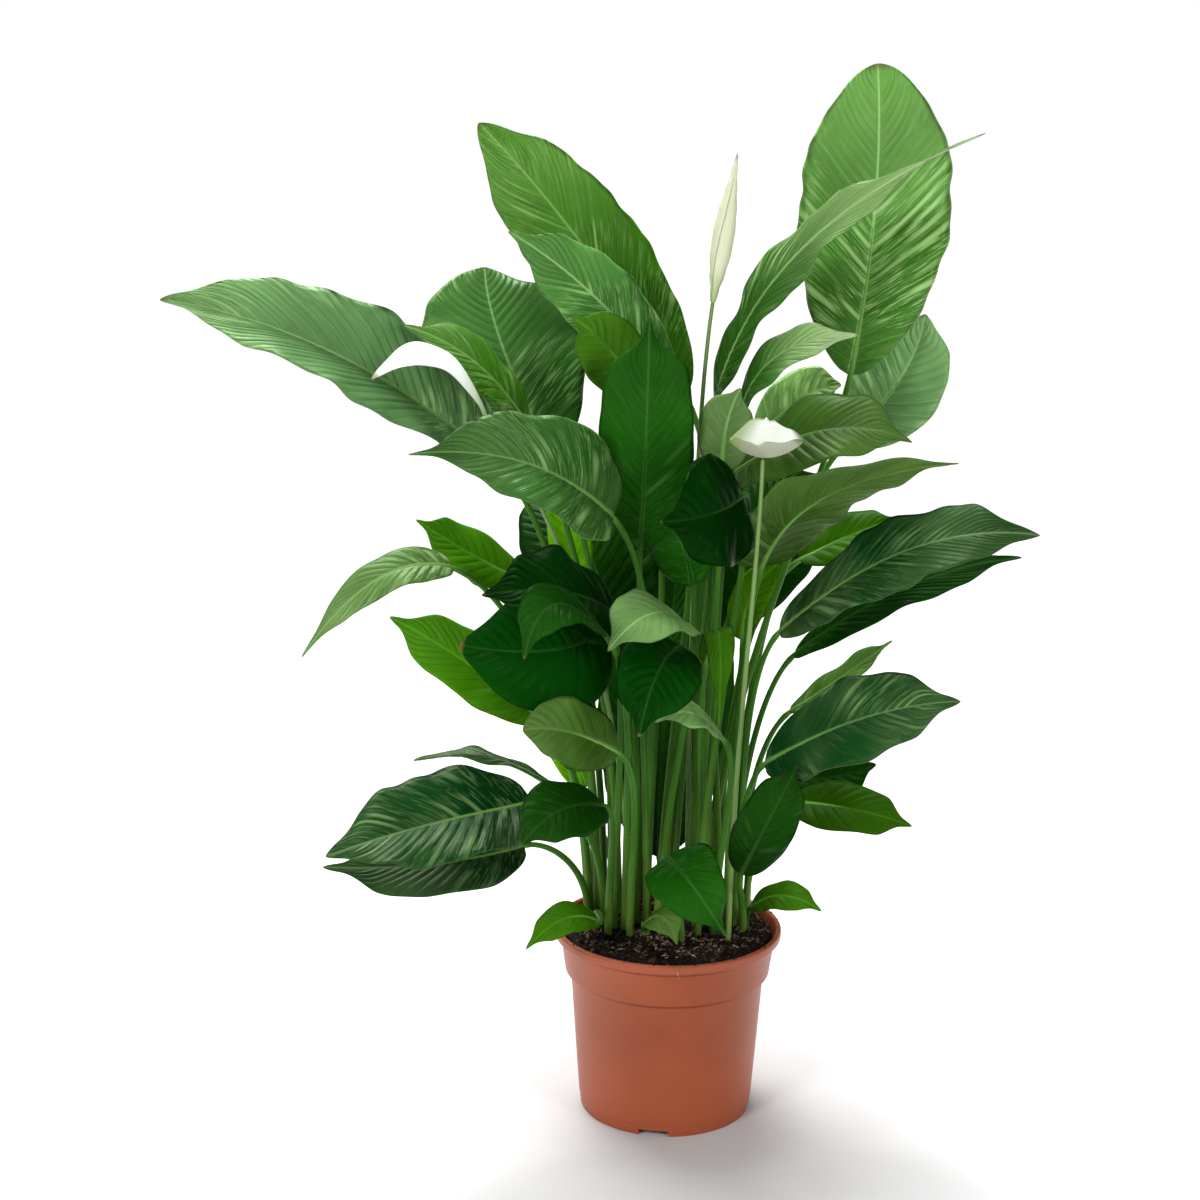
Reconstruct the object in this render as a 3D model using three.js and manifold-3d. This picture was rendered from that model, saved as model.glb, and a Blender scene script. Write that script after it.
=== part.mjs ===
// A potted peace lily: a tapered nursery pot, its soil, the leaves on their stalks and three blooms.
// Millimetres, +Z up. The origin is the centre of the pot's underside, and -Y is the front.
import * as THREE from 'three';
import { mergeVertices } from 'three/addons/utils/BufferGeometryUtils.js';
import Module from 'manifold-3d';

const wasm = await Module();
wasm.setup();

// ---- Driving dimensions of the pot ---------------------------------------------------------
const POT_HEIGHT = 142;
const RIM_RADIUS = 85;
const LIP_HEIGHT = 7;
const LIP_WIDTH = 3.6;
const LIP_BEVEL = 1;
const BAND_TOP_RADIUS = 80.5;
const BAND_FOOT_RADIUS = 76.7;
const BAND_FOOT_Z = 108;
const SHELF_DROP = 2.5;
const WALL_TOP_RADIUS = 72.4;
const FOOT_RADIUS = 64.2;
const FOOT_RING = 2.6;
const FOOT_STEP_Z = 8;
const FOOT_STEP = 0.6;
const WALL = 1.8;
const BASE_UNDERSIDE_Z = 5.4;
const BASE_TOP_Z = 7.4;
const PAD_RADIUS = 13;
const NOTCH = { count: 4, width: 22, height: 4.6, turn: -7 };
const DRAIN = { count: 8, radius: 5, circle: 40, sides: 12 };
const CUTTER_DEPTH = 12;
const POT_SIDES = 40;
const LIP_FOOT_Z = POT_HEIGHT - LIP_HEIGHT;

// The pot's inner wall from the base up: radius, height.
const INNER_WALL = [
  [FOOT_RADIUS + 2 * FOOT_STEP - WALL, BASE_TOP_Z],
  [WALL_TOP_RADIUS - WALL, BAND_FOOT_Z - SHELF_DROP + 0.5],
  [BAND_FOOT_RADIUS - WALL, BAND_FOOT_Z + 1],
  [BAND_TOP_RADIUS - WALL, LIP_FOOT_Z - LIP_BEVEL],
];

// ---- Driving dimensions of the soil --------------------------------------------------------
const SOIL_EDGE_Z = 136;
const SOIL_TOP_Z = 139;
const SOIL_SLOPE = 12;
const SOIL_GAP = 0.5;
const SEAT_GAP = 0.3;
const STALK_DEPTH = 22;
const HOLE_SIDES = 8;

// ---- Driving dimensions of the leaves ------------------------------------------------------
const STALK_FOOT_RADIUS = 3.1;
const STALK_NECK_RADIUS = 1.8;
const STALK_STEPS = 4;
const STALK_START_Z = SOIL_TOP_Z + 2;
const STALK_RISE = 0.4;
const STALK_BEND = 0.2;
const BLADE_THICKNESS = 0.8;
const RIB_DEPTH = 1.6;
const SWELL = { length: 0.2, above: 0.6, below: 0.9 };
const TIP_HALF_WIDTH = 0.5;
const DRIP_START = 0.76;
const DRIP_END = 0.93;
const BLADE_STATIONS = [0.05, 0.14, 0.25, 0.36, 0.47, 0.58, 0.69, 0.8, 0.9, 1];
const MIDDLE_STATION = 4;
const SMALL_LEAF = 53;
const SMALL_COLUMNS = [-1, 0, 1];
const LARGE_COLUMNS = [-1, -0.5, 0, 0.5, 1];
const MARGIN_LAG = 2;
const PHASE_STEP = 2.4;

// What a leaf has where its own entry says nothing else.
const USUAL = {
  fullness: 1.25, widest: 0.44, fold: 16, droop: 0.25, wave: 0.035, waves: 2.5, twist: 0, drip: 0.6, tail: 0,
};

// Each leaf, from where its stalk leaves the soil to its drip tip.
// root: where the stalk stands on the soil (x, y); neck: where the stalk becomes the blade;
// belly: halfway along the blade's midrib; tip: the drip tip; width: across the widest part;
// face: the way the upper face looks at the belly. Also, where a leaf needs it: widest, how far
// along the midrib it is broadest; fullness, the power that draws its ends in; fold, in degrees,
// between each half and the flat; droop, how far the margins bend away; wave and waves, the
// height of the ripples along the margins as a share of the width, and their number; twist, in
// degrees from neck to tip; drip, how much narrower the blade is drawn in at its tip; tail, the
// share of the midrib that runs on beyond the blade as a thin tip.
const LEAVES = [
  // the tall leaves
  { name: 'leaf_tall_right', root: [30, 34], neck: [124, 30, 553], belly: [137, 30, 668],
    tip: [134, 15, 770], width: 106, face: [-0.1, -1, 0.15], widest: 0.52, fold: 10, drip: 0.1 },
  { name: 'leaf_upper_left', root: [4, 40], neck: [5, 50, 534], belly: [-76, 80, 645],
    tip: [-146, 50, 727], width: 82, face: [-0.2, -1, 0.1], widest: 0.45, drip: 0.25 },
  { name: 'leaf_upper_left_front', root: [-6, 28], neck: [-7, 15, 545], belly: [-59, 0, 608],
    tip: [-119, -20, 654], width: 60, face: [-0.2, -0.7, 0.7] },
  { name: 'leaf_upper_left_olive', root: [-16, 14], neck: [-27, -5, 538], belly: [-48, -15, 573],
    tip: [-73, -30, 596], width: 46, face: [-0.5, 0.8, 0.3] },
  { name: 'leaf_centre_erect', root: [-16, -9], neck: [-24, -44, 436], belly: [-21, -54, 523],
    tip: [-20, -50, 602], width: 66, face: [0, -1, 0.1], widest: 0.48, drip: 0.85 },
  { name: 'leaf_long_twisted', root: [20, 22], neck: [27, -10, 537], belly: [82, -35, 645],
    tip: [202, -45, 724], width: 46,
    face: [-0.5, -0.6, 0.6], widest: 0.34, twist: 40, drip: 0.3, tail: 0.13 },
  { name: 'leaf_small_twisted', root: [28, 14], neck: [42, -30, 523], belly: [66, -50, 573],
    tip: [122, -60, 590], width: 34, face: [-0.4, -0.6, 0.7], twist: 30 },
  { name: 'leaf_centre_right', root: [22, 10], neck: [32, -45, 494], belly: [34, -52, 526],
    tip: [43, -54, 552], width: 38, face: [-0.3, -1, 0] },
  // the left side, from the top down
  { name: 'leaf_left_arch', root: [-44, 42], neck: [-85, 5, 486], belly: [-128, 48, 566],
    tip: [-145, 84, 623], width: 122, face: [0.2, -0.9, 0.4], widest: 0.52, drip: 0.1, fullness: 1.6 },
  { name: 'leaf_left_arch_front', root: [-38, 24], neck: [-103, -25, 516], belly: [-138, -45, 565],
    tip: [-187, -60, 592], width: 52, face: [0.1, -0.5, 0.9] },
  { name: 'leaf_left_long', root: [-54, 30], neck: [-128, -10, 491], belly: [-232, -75, 574],
    tip: [-345, -95, 610], width: 92, face: [0.54, -0.66, 0.5], fold: 38, widest: 0.4, drip: 0.35 },
  { name: 'leaf_left_pale', root: [-16, 8], neck: [-43, -74, 465], belly: [-100, -110, 507],
    tip: [-175, -135, 515], width: 86, face: [0.1, -0.75, 0.6], fold: 28, widest: 0.27, drip: 0.7 },
  { name: 'leaf_left_lime', root: [-50, 48], neck: [-71, 35, 389], belly: [-79, 35, 436],
    tip: [-88, 30, 471], width: 30, face: [0, -1, 0.1] },
  { name: 'leaf_left_mid', root: [-57, 38], neck: [-112, 20, 399], belly: [-151, 10, 422],
    tip: [-187, 0, 447], width: 46, face: [0.2, -0.6, 0.8] },
  { name: 'leaf_left_drooping', root: [-62, 30], neck: [-156, -45, 421], belly: [-205, -70, 418],
    tip: [-258, -80, 363], width: 30, face: [0, -0.7, 0.7], widest: 0.36 },
  { name: 'leaf_left_dark_upper', root: [-24, 0], neck: [-40, -40, 388], belly: [-76, -92, 416],
    tip: [-130, -104, 415], width: 76, face: [0, -0.7, 0.7] },
  { name: 'leaf_left_dark_lower', root: [-40, -12], neck: [-52, -60, 380], belly: [-88, -92, 374],
    tip: [-145, -104, 380], width: 92, face: [0, -0.9, 0.4], drip: 0.2 },
  { name: 'leaf_left_hanging', root: [-32, -14], neck: [-46, -108, 390], belly: [-78, -150, 420],
    tip: [-97, -160, 385], width: 38, face: [-0.2, -0.8, 0.6] },
  { name: 'leaf_left_bright', root: [-60, 20], neck: [-94, -25, 306], belly: [-147, -45, 353],
    tip: [-201, -45, 385], width: 46, face: [0.1, -0.8, 0.5], widest: 0.46 },
  { name: 'leaf_left_yellow', root: [-41, 57], neck: [-66, 47, 232], belly: [-82, 48, 278],
    tip: [-104, 49, 326], width: 32, face: [0, -0.9, 0.4] },
  { name: 'leaf_left_round', root: [-28, -24], neck: [-37, -90, 302], belly: [-70, -120, 325],
    tip: [-100, -130, 328], width: 48, face: [0, -0.9, 0.5], drip: 0.2 },
  // the middle, hanging towards the viewer
  { name: 'leaf_centre_hood', root: [-8, -14], neck: [12, -46, 380], belly: [-14, -92, 402],
    tip: [-44, -114, 380], width: 52, face: [0, -0.6, 0.8] },
  { name: 'leaf_centre_dark_hanging', root: [-4, 0], neck: [6, -40, 366], belly: [-10, -92, 360],
    tip: [-22, -106, 318], width: 60, face: [0, -1, 0.2] },
  { name: 'leaf_centre_bright_hanging', root: [24, -4], neck: [24, -30, 352], belly: [32, -60, 380],
    tip: [33, -78, 318], width: 20, face: [0, -0.9, 0.4] },
  { name: 'leaf_centre_small', root: [34, -16], neck: [38, -42, 298], belly: [14, -64, 324],
    tip: [-11, -85, 323], width: 30, face: [0, -0.5, 0.8] },
  { name: 'leaf_centre_green', root: [2, 6], neck: [13, -22, 407], belly: [5, -36, 440],
    tip: [-8, -38, 464], width: 42, face: [0, -1, 0.1] },
  { name: 'leaf_centre_dark', root: [22, -20], neck: [45, -60, 478], belly: [24, -96, 472],
    tip: [-10, -118, 470], width: 78, face: [0, -1, 0.1], widest: 0.36 },
  // low on the left
  { name: 'leaf_low_left_big', root: [-48, 10], neck: [-96, -90, 264], belly: [-166, -135, 261],
    tip: [-230, -160, 246], width: 82, face: [0, -0.6, 0.8], fold: 22, widest: 0.36, drip: 0.4 },
  { name: 'leaf_low_left_front', root: [-44, -22], neck: [-46, -100, 266], belly: [-73, -150, 279],
    tip: [-98, -165, 259], width: 46, face: [0, -0.8, 0.6] },
  { name: 'leaf_low_left_under', root: [-60, 10], neck: [-105, -55, 220], belly: [-167, -100, 221],
    tip: [-239, -120, 224], width: 52, face: [0, -0.7, 0.7] },
  { name: 'leaf_low_left_edge', root: [-50, 20], neck: [-82, -40, 258], belly: [-129, -50, 284],
    tip: [-183, -60, 284], width: 46, face: [0, 0.1, 1] },
  { name: 'leaf_base_left', root: [-55, -4], neck: [-50, -55, 163], belly: [-73, -80, 175],
    tip: [-100, -95, 157], width: 24, face: [0, -0.7, 0.7] },
  { name: 'leaf_base_front', root: [-16, -20], neck: [-17, -40, 156], belly: [-4, -60, 170],
    tip: [7, -72, 154], width: 24, face: [0, -0.7, 0.7] },
  { name: 'leaf_front_heart', root: [10, -32], neck: [-1, -85, 224], belly: [16, -105, 212],
    tip: [41, -108, 175], width: 52, face: [0.2, -0.9, 0.4], widest: 0.32 },
  // low on the right
  { name: 'leaf_low_right_up', root: [56, -12], neck: [52, -58, 204], belly: [70, -90, 257],
    tip: [88, -85, 293], width: 40, face: [0, -1, 0.2] },
  { name: 'leaf_low_right', root: [58, 14], neck: [88, -10, 243], belly: [130, -35, 247],
    tip: [174, -45, 238], width: 40, face: [0, -0.7, 0.7] },
  { name: 'leaf_low_right_back', root: [60, 26], neck: [82, 20, 248], belly: [122, 10, 257],
    tip: [151, 0, 270], width: 42, face: [0, -0.7, 0.7] },
  { name: 'leaf_right_lower', root: [50, 4], neck: [68, -40, 281], belly: [129, -95, 331],
    tip: [195, -110, 349], width: 68, face: [0, -0.7, 0.7] },
  { name: 'leaf_right_edge', root: [54, 38], neck: [89, 35, 299], belly: [128, 30, 330],
    tip: [161, 20, 359], width: 32, face: [0, -0.3, 1] },
  { name: 'leaf_base_right', root: [58, 0], neck: [62, -10, 160], belly: [84, -26, 176],
    tip: [112, -38, 169], width: 25, face: [0, -0.6, 0.8] },
  // the right side, from the middle up
  { name: 'leaf_right_long', root: [52, 14], neck: [76, -30, 376], belly: [155, -95, 449],
    tip: [241, -115, 465], width: 61, face: [0, -0.65, 0.75], drip: 0.45 },
  { name: 'leaf_right_under', root: [48, 26], neck: [89, 0, 352], belly: [161, -45, 413],
    tip: [238, -65, 440], width: 48, face: [0, -0.5, 0.9] },
  { name: 'leaf_right_back', root: [38, 46], neck: [94, 60, 410], belly: [131, 60, 430],
    tip: [165, 55, 444], width: 40, face: [0, -0.6, 0.8] },
  { name: 'leaf_right_hooked', root: [38, 12], neck: [44, -4, 487], belly: [101, -64, 526],
    tip: [158, -84, 521], width: 70, face: [0, -0.7, 0.7], widest: 0.34 },
  { name: 'leaf_right_reaching', root: [44, 0], neck: [62, -20, 420], belly: [103, -50, 478],
    tip: [191, -74, 506], width: 80, face: [-0.2, 0.6, 0.8], widest: 0.32, drip: 0.5 },
  { name: 'leaf_upper_right_back', root: [48, 50], neck: [127, 60, 501], belly: [165, 65, 549],
    tip: [177, 40, 596], width: 68, face: [0, -1, 0.2], drip: 0.4 },
  { name: 'leaf_right_light', root: [24, 54], neck: [62, 84, 500], belly: [96, 88, 529],
    tip: [122, 84, 539], width: 46, face: [0, -0.8, 0.5] },
  { name: 'leaf_right_lime', root: [28, 44], neck: [52, 44, 352], belly: [58, 42, 387],
    tip: [80, 32, 416], width: 26, face: [0, -1, 0.1] },
  // the side away from the viewer
  { name: 'leaf_back_left', root: [-20, 60], neck: [-42, 84, 330], belly: [-72, 124, 412],
    tip: [-112, 182, 448], width: 100, face: [0.1, -0.8, 0.5] },
  { name: 'leaf_back_middle', root: [-4, 62], neck: [-8, 76, 168], belly: [-5, 100, 290],
    tip: [6, 150, 425], width: 106, face: [0, -0.9, 0.3], widest: 0.5 },
  { name: 'leaf_back_right', root: [16, 62], neck: [40, 92, 350], belly: [74, 132, 425],
    tip: [116, 186, 455], width: 92, face: [0, -0.8, 0.5] },
];

// ---- Driving dimensions of the blooms ------------------------------------------------------
// root: where the stalk stands on the soil; foot, belly and tip: along the white spathe's midrib;
// top: where the stalk meets the spathe, if that is not at its foot.
const ROLLED_BLOOM = { root: [14, 30], foot: [23, -20, 606], tip: [38, -15, 709], radius: 7 };
const OPEN_BLOOM = {
  root: [45, -28], top: [57, -110.5, 512], foot: [39, -106, 521], belly: [60, -111, 513.5],
  tip: [83, -119, 526], width: 60, face: [0, -0.3, 0.95], fullness: 0.8, widest: 0.42, fold: 62,
  droop: 0.16,
};
const LEFT_BLOOM = {
  root: [-30, 22], foot: [-127, -95, 534], belly: [-158, -112, 578],
  tip: [-200, -125, 563], width: 36, face: [0, -0.35, 0.95], fold: 20, droop: 0.4,
};
const SPADIX = { radius: 2.5, foot: [52, -113, 520.8], tip: [68, -116, 523.4], rings: 3, sides: 10 };
const BLOOM_STALK = { foot: 2.4, neck: 1.5, steps: 7, sides: 6 };
const SPATHE_STATIONS = [0, 0.1, 0.2, 0.32, 0.45, 0.58, 0.7, 0.82, 0.92, 1];
const SPATHE_COLUMNS = [-1, -0.75, -0.4, 0, 0.4, 0.75, 1];
const SPATHE_WAVE = 0.02;
const SPATHE_DRIP = 0.2;

// The rolled spathe's girth: how far up it, and the share of its radius there.
const ROLL_GIRTH = [
  [0, 0.22], [0.06, 0.5], [0.15, 0.78], [0.3, 1], [0.45, 0.95],
  [0.6, 0.7], [0.75, 0.38], [0.88, 0.18], [1, 0.06],
];
const ROLL_SIDES = 12;
const ROLL_OVERLAP = 0.16;

// ---- Materials -----------------------------------------------------------------------------
const matt = (color, roughness) => new THREE.MeshStandardMaterial({ color, roughness, metalness: 0 });
const terracottaPlastic = matt(0xa05a40, 0.55);
const pottingSoil = matt(0x2b1d15, 0.95);
const leafGreen = matt(0x2c6a24, 0.4);
const stalkGreen = matt(0x4b8a35, 0.45);
const spatheWhite = matt(0xf2f1e6, 0.6);
const spadixCream = matt(0xe6dfae, 0.8);

const plant = new THREE.Group();

function addMesh(name, geometry, material) {
  const mesh = new THREE.Mesh(geometry, material);
  mesh.name = name;
  plant.add(mesh);
}

const vector = (place) => new THREE.Vector3(...place);
const evenly = (steps) => Array.from({ length: steps + 1 }, (_, i) => i / steps);

// ---- Solids joined and cut -----------------------------------------------------------------
function toSolid(geometry) {
  const bare = geometry.clone();
  bare.deleteAttribute('normal');
  bare.deleteAttribute('uv');
  const merged = mergeVertices(bare, 1e-4);
  return new wasm.Manifold(new wasm.Mesh({
    numProp: 3,
    vertProperties: new Float32Array(merged.attributes.position.array),
    triVerts: new Uint32Array(merged.index.array),
  }));
}

function toGeometry(solid) {
  const mesh = solid.getMesh();
  const geometry = new THREE.BufferGeometry();
  geometry.setAttribute('position', new THREE.BufferAttribute(new Float32Array(mesh.vertProperties), 3));
  geometry.setIndex(new THREE.BufferAttribute(new Uint32Array(mesh.triVerts), 1));
  return geometry;
}

function latheUpright(profile) {
  const points = profile.map(([radius, z]) => new THREE.Vector2(radius, z));
  return new THREE.LatheGeometry(points, POT_SIDES).rotateX(Math.PI / 2);
}

// ---- Pot -----------------------------------------------------------------------------------
// The wall steps out above the foot, and again at the band under the rolled lip.
// The flat pad in the middle of the underside reaches down to the foot's own level.
function makePot() {
  let pot = toSolid(latheUpright([
    [0, 0],
    [PAD_RADIUS, 0],
    [PAD_RADIUS + LIP_BEVEL, BASE_UNDERSIDE_Z],
    [FOOT_RADIUS - FOOT_RING, BASE_UNDERSIDE_Z],
    [FOOT_RADIUS - FOOT_RING, 0],
    [FOOT_RADIUS, 0],
    [FOOT_RADIUS + FOOT_STEP, FOOT_STEP_Z],
    [FOOT_RADIUS + 2 * FOOT_STEP, FOOT_STEP_Z + 1],
    [WALL_TOP_RADIUS, BAND_FOOT_Z - SHELF_DROP],
    [BAND_FOOT_RADIUS, BAND_FOOT_Z],
    [BAND_TOP_RADIUS, LIP_FOOT_Z],
    [RIM_RADIUS - LIP_BEVEL, LIP_FOOT_Z],
    [RIM_RADIUS, LIP_FOOT_Z + LIP_BEVEL],
    [RIM_RADIUS, POT_HEIGHT - LIP_BEVEL],
    [RIM_RADIUS - LIP_BEVEL, POT_HEIGHT],
    [RIM_RADIUS - LIP_WIDTH, POT_HEIGHT],
    [RIM_RADIUS - LIP_WIDTH - LIP_BEVEL, POT_HEIGHT - 2 * LIP_BEVEL],
    ...INNER_WALL.toReversed(),
    [0, BASE_TOP_Z],
  ]));
  const notch = new THREE.BoxGeometry(NOTCH.width, CUTTER_DEPTH, 2 * NOTCH.height);
  notch.translate(0, -FOOT_RADIUS, 0);
  for (let i = 0; i < NOTCH.count; i++) {
    const turn = THREE.MathUtils.degToRad(NOTCH.turn + (360 / NOTCH.count) * i);
    pot = pot.subtract(toSolid(notch.clone().rotateZ(turn)));
  }
  const drain = new THREE.CylinderGeometry(DRAIN.radius, DRAIN.radius, CUTTER_DEPTH, DRAIN.sides);
  drain.rotateX(Math.PI / 2).translate(DRAIN.circle, 0, BASE_TOP_Z);
  for (let i = 0; i < DRAIN.count; i++) {
    const turn = ((i + 0.5) / DRAIN.count) * 2 * Math.PI;
    pot = pot.subtract(toSolid(drain.clone().rotateZ(turn)));
  }
  return toGeometry(pot);
}

// ---- Soil ----------------------------------------------------------------------------------
// It fills the pot just clear of the wall, and every stalk stands in a plain hole in it.
function makeSoil(stalks) {
  const [below, above] = INNER_WALL.slice(-2);
  const edgeRadius = THREE.MathUtils.mapLinear(SOIL_EDGE_Z, below[1], above[1], below[0], above[0]);
  const seated = INNER_WALL.slice(0, -1).map(([radius, z]) => [radius - SOIL_GAP, z + SEAT_GAP]);
  let soil = toSolid(latheUpright([
    [0, BASE_TOP_Z + SEAT_GAP],
    ...seated,
    [edgeRadius - SOIL_GAP, SOIL_EDGE_Z],
    [edgeRadius - SOIL_SLOPE, SOIL_TOP_Z],
    [0, SOIL_TOP_Z],
  ]));
  const depth = STALK_DEPTH + SEAT_GAP;
  for (const { root, radius } of stalks) {
    const reach = (radius + SEAT_GAP) / Math.cos(Math.PI / HOLE_SIDES);
    const hole = new THREE.CylinderGeometry(reach, reach, 2 * depth, HOLE_SIDES).rotateX(Math.PI / 2);
    hole.translate(root[0], root[1], SOIL_TOP_Z);
    soil = soil.subtract(toSolid(hole));
  }
  return toGeometry(soil);
}

// ---- Leaves, stalks and spathes ------------------------------------------------------------
// A ring is a closed loop of points, and a body is a row of rings joined and capped at both ends.
// The two faces of a blade are split along the same diagonals, so they never cross.
function skinRings(rings) {
  const count = rings[0].length;
  const index = [];
  for (let j = 0; j + 1 < rings.length; j++) {
    for (let i = 0; i < count; i++) {
      const a = j * count + i;
      const b = j * count + ((i + 1) % count);
      const c = a + count;
      const d = b + count;
      const upperFace = i < count / 2;
      index.push(...(upperFace ? [a, d, c, a, b, d] : [a, b, c, b, d, c]));
    }
  }
  const last = (rings.length - 1) * count;
  for (let i = 1; i + 1 < count; i++) {
    index.push(0, i + 1, i);
    index.push(last, last + i, last + i + 1);
  }
  const geometry = new THREE.BufferGeometry();
  geometry.setFromPoints(rings.flat());
  geometry.setIndex(index);
  return geometry;
}

// A stalk leaves the soil upright and swings into the line that its blade starts along.
function stalkCurve(root, neck, arrival) {
  const foot = new THREE.Vector3(root[0], root[1], STALK_START_Z);
  const reach = foot.distanceTo(neck);
  const rise = new THREE.Vector3(0, 0, reach * STALK_RISE).add(foot);
  const approach = neck.clone().addScaledVector(arrival, -reach * STALK_BEND);
  return new THREE.CubicBezierCurve3(foot, rise, approach, neck);
}

// The curve passes through the belly halfway along.
function bladeCurve(neck, belly, tip) {
  const middle = belly.clone().multiplyScalar(2).addScaledVector(neck, -0.5).addScaledVector(tip, -0.5);
  return new THREE.QuadraticBezierCurve3(neck, middle, tip);
}

// The frame looks along the face given at the start, and is carried along the curve both ways.
function carryNormals(tangents, start, face) {
  const level = (normal, along) => normal.clone().addScaledVector(along, -normal.dot(along)).normalize();
  const normals = [];
  normals[start] = level(face, tangents[start]);
  for (let i = start + 1; i < tangents.length; i++) {
    normals[i] = level(normals[i - 1], tangents[i]);
  }
  for (let i = start - 1; i >= 0; i--) {
    normals[i] = level(normals[i + 1], tangents[i]);
  }
  return normals;
}

// Half the blade's width along the midrib: a full oval that draws in to a narrow drip tip.
function outline(t, { widest, fullness, drip, tail }) {
  const along = Math.min(1, t / (1 - tail));
  const towardsNeck = fullness * widest;
  const towardsTip = fullness * (1 - widest);
  const broadest = widest ** towardsNeck * (1 - widest) ** towardsTip;
  const drawnIn = 1 - drip * THREE.MathUtils.smoothstep(along, DRIP_START, DRIP_END);
  return (along ** towardsNeck * (1 - along) ** towardsTip * drawnIn) / broadest;
}

function stalkRing(place, side, up, radius, count) {
  return Array.from({ length: count }, (_, i) => {
    const angle = Math.PI - (2 * Math.PI * (i + 0.5)) / count;
    return place.clone()
      .addScaledVector(side, radius * Math.cos(angle))
      .addScaledVector(up, radius * Math.sin(angle));
  });
}

// The upper face from margin to margin, then the under face back again, with the midrib below it.
function bladeRing(place, side, up, t, leaf, columns) {
  const halfWidth = Math.max(TIP_HALF_WIDTH, (leaf.width / 2) * outline(t, leaf));
  const fold = THREE.MathUtils.degToRad(leaf.fold);
  const waveHeight = leaf.wave * leaf.width * Math.sqrt(Math.sin(Math.PI * t));
  const swell = STALK_NECK_RADIUS * Math.max(0, 1 - t / SWELL.length);
  const upper = columns.map((u) => {
    const along = 2 * Math.PI * leaf.waves * t + leaf.phase + (u > 0 ? MARGIN_LAG : 0);
    const ripple = waveHeight * u * u * Math.sin(along);
    const lift = halfWidth * (Math.abs(u) * Math.sin(fold) - leaf.droop * u * u);
    return place.clone()
      .addScaledVector(side, halfWidth * u * Math.cos(fold))
      .addScaledVector(up, lift + ripple + swell * SWELL.above);
  });
  const under = columns.map((u, i) => {
    const rib = u === 0 ? RIB_DEPTH * (1 - t) : 0;
    return upper[i].clone().addScaledVector(up, -BLADE_THICKNESS - rib - swell * SWELL.below);
  });
  return [...upper, ...under.reverse()];
}

// The stalk's rings, from the foot in the soil to the neck.
function stalkRings(curve, sides, normals, footRadius, neckRadius, count) {
  const steps = evenly(sides.length - 1);
  const rings = steps.map((s, i) => {
    const radius = THREE.MathUtils.lerp(footRadius, neckRadius, s);
    return stalkRing(curve.getPoint(s), sides[i], normals[i], radius, count);
  });
  const buried = rings[0].map((point) => point.clone().setZ(SOIL_TOP_Z - STALK_DEPTH));
  return [buried, ...rings];
}

function makeLeaf(leaf) {
  const [neck, belly, tip] = [leaf.neck, leaf.belly, leaf.tip].map(vector);
  const blade = bladeCurve(neck, belly, tip);
  const stalk = stalkCurve(leaf.root, neck, blade.getTangent(0));
  const columns = leaf.width < SMALL_LEAF ? SMALL_COLUMNS : LARGE_COLUMNS;
  const stalkCount = STALK_STEPS + 1;
  const tangents = [
    ...evenly(STALK_STEPS).map((s) => stalk.getTangent(s)),
    ...BLADE_STATIONS.map((t) => blade.getTangent(t)),
  ];
  const normals = carryNormals(tangents, stalkCount + MIDDLE_STATION, vector(leaf.face));
  const sides = normals.map((normal, i) => tangents[i].clone().cross(normal));
  const rings = stalkRings(
    stalk, sides.slice(0, stalkCount), normals, STALK_FOOT_RADIUS, STALK_NECK_RADIUS, 2 * columns.length,
  );
  BLADE_STATIONS.forEach((t, j) => {
    const i = stalkCount + j;
    const turn = THREE.MathUtils.degToRad(leaf.twist) * (t - 0.5);
    const up = normals[i].clone().applyAxisAngle(tangents[i], turn);
    const side = sides[i].clone().applyAxisAngle(tangents[i], turn);
    rings.push(bladeRing(blade.getPoint(t), side, up, t, leaf, columns));
  });
  return skinRings(rings);
}

// ---- Blooms --------------------------------------------------------------------------------
// The stalk stops just short of the spathe, on the line that it arrives along.
function makeBloomStalk(root, top, arrival) {
  const end = top.clone().addScaledVector(arrival, -SEAT_GAP);
  const stalk = stalkCurve(root, end, arrival);
  const tangents = evenly(BLOOM_STALK.steps).map((s) => stalk.getTangent(s));
  const normals = carryNormals(tangents, 0, new THREE.Vector3(0, -1, 0));
  const sides = normals.map((normal, i) => tangents[i].clone().cross(normal));
  return skinRings(
    stalkRings(stalk, sides, normals, BLOOM_STALK.foot, BLOOM_STALK.neck, BLOOM_STALK.sides),
  );
}

// A spathe still rolled up: a spindle whose free edge stands a little proud of the turn below it.
function makeRolledSpathe({ foot, tip, radius }) {
  const start = vector(foot);
  const axis = vector(tip).sub(start);
  const along = axis.clone().normalize();
  const [up] = carryNormals([along], 0, new THREE.Vector3(0, -1, 0));
  const side = along.clone().cross(up);
  return skinRings(ROLL_GIRTH.map(([t, share]) => Array.from({ length: ROLL_SIDES }, (_, i) => {
    const angle = Math.PI - (2 * Math.PI * i) / ROLL_SIDES - t;
    const reach = radius * share * (1 + (ROLL_OVERLAP * i) / ROLL_SIDES);
    return start.clone().addScaledVector(axis, t)
      .addScaledVector(side, reach * Math.cos(angle))
      .addScaledVector(up, reach * Math.sin(angle));
  })));
}

// An opened spathe: a cupped blade of its own colour, without a stalk.
function makeOpenSpathe(bloom) {
  const shape = { ...USUAL, wave: SPATHE_WAVE, drip: SPATHE_DRIP, phase: 1, ...bloom };
  const curve = bladeCurve(...[bloom.foot, bloom.belly, bloom.tip].map(vector));
  const tangents = SPATHE_STATIONS.map((t) => curve.getTangent(t));
  const normals = carryNormals(tangents, MIDDLE_STATION, vector(bloom.face));
  return skinRings(SPATHE_STATIONS.map((t, i) => {
    const side = tangents[i].clone().cross(normals[i]);
    return bladeRing(curve.getPoint(t), side, normals[i], t, shape, SPATHE_COLUMNS);
  }));
}

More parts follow.
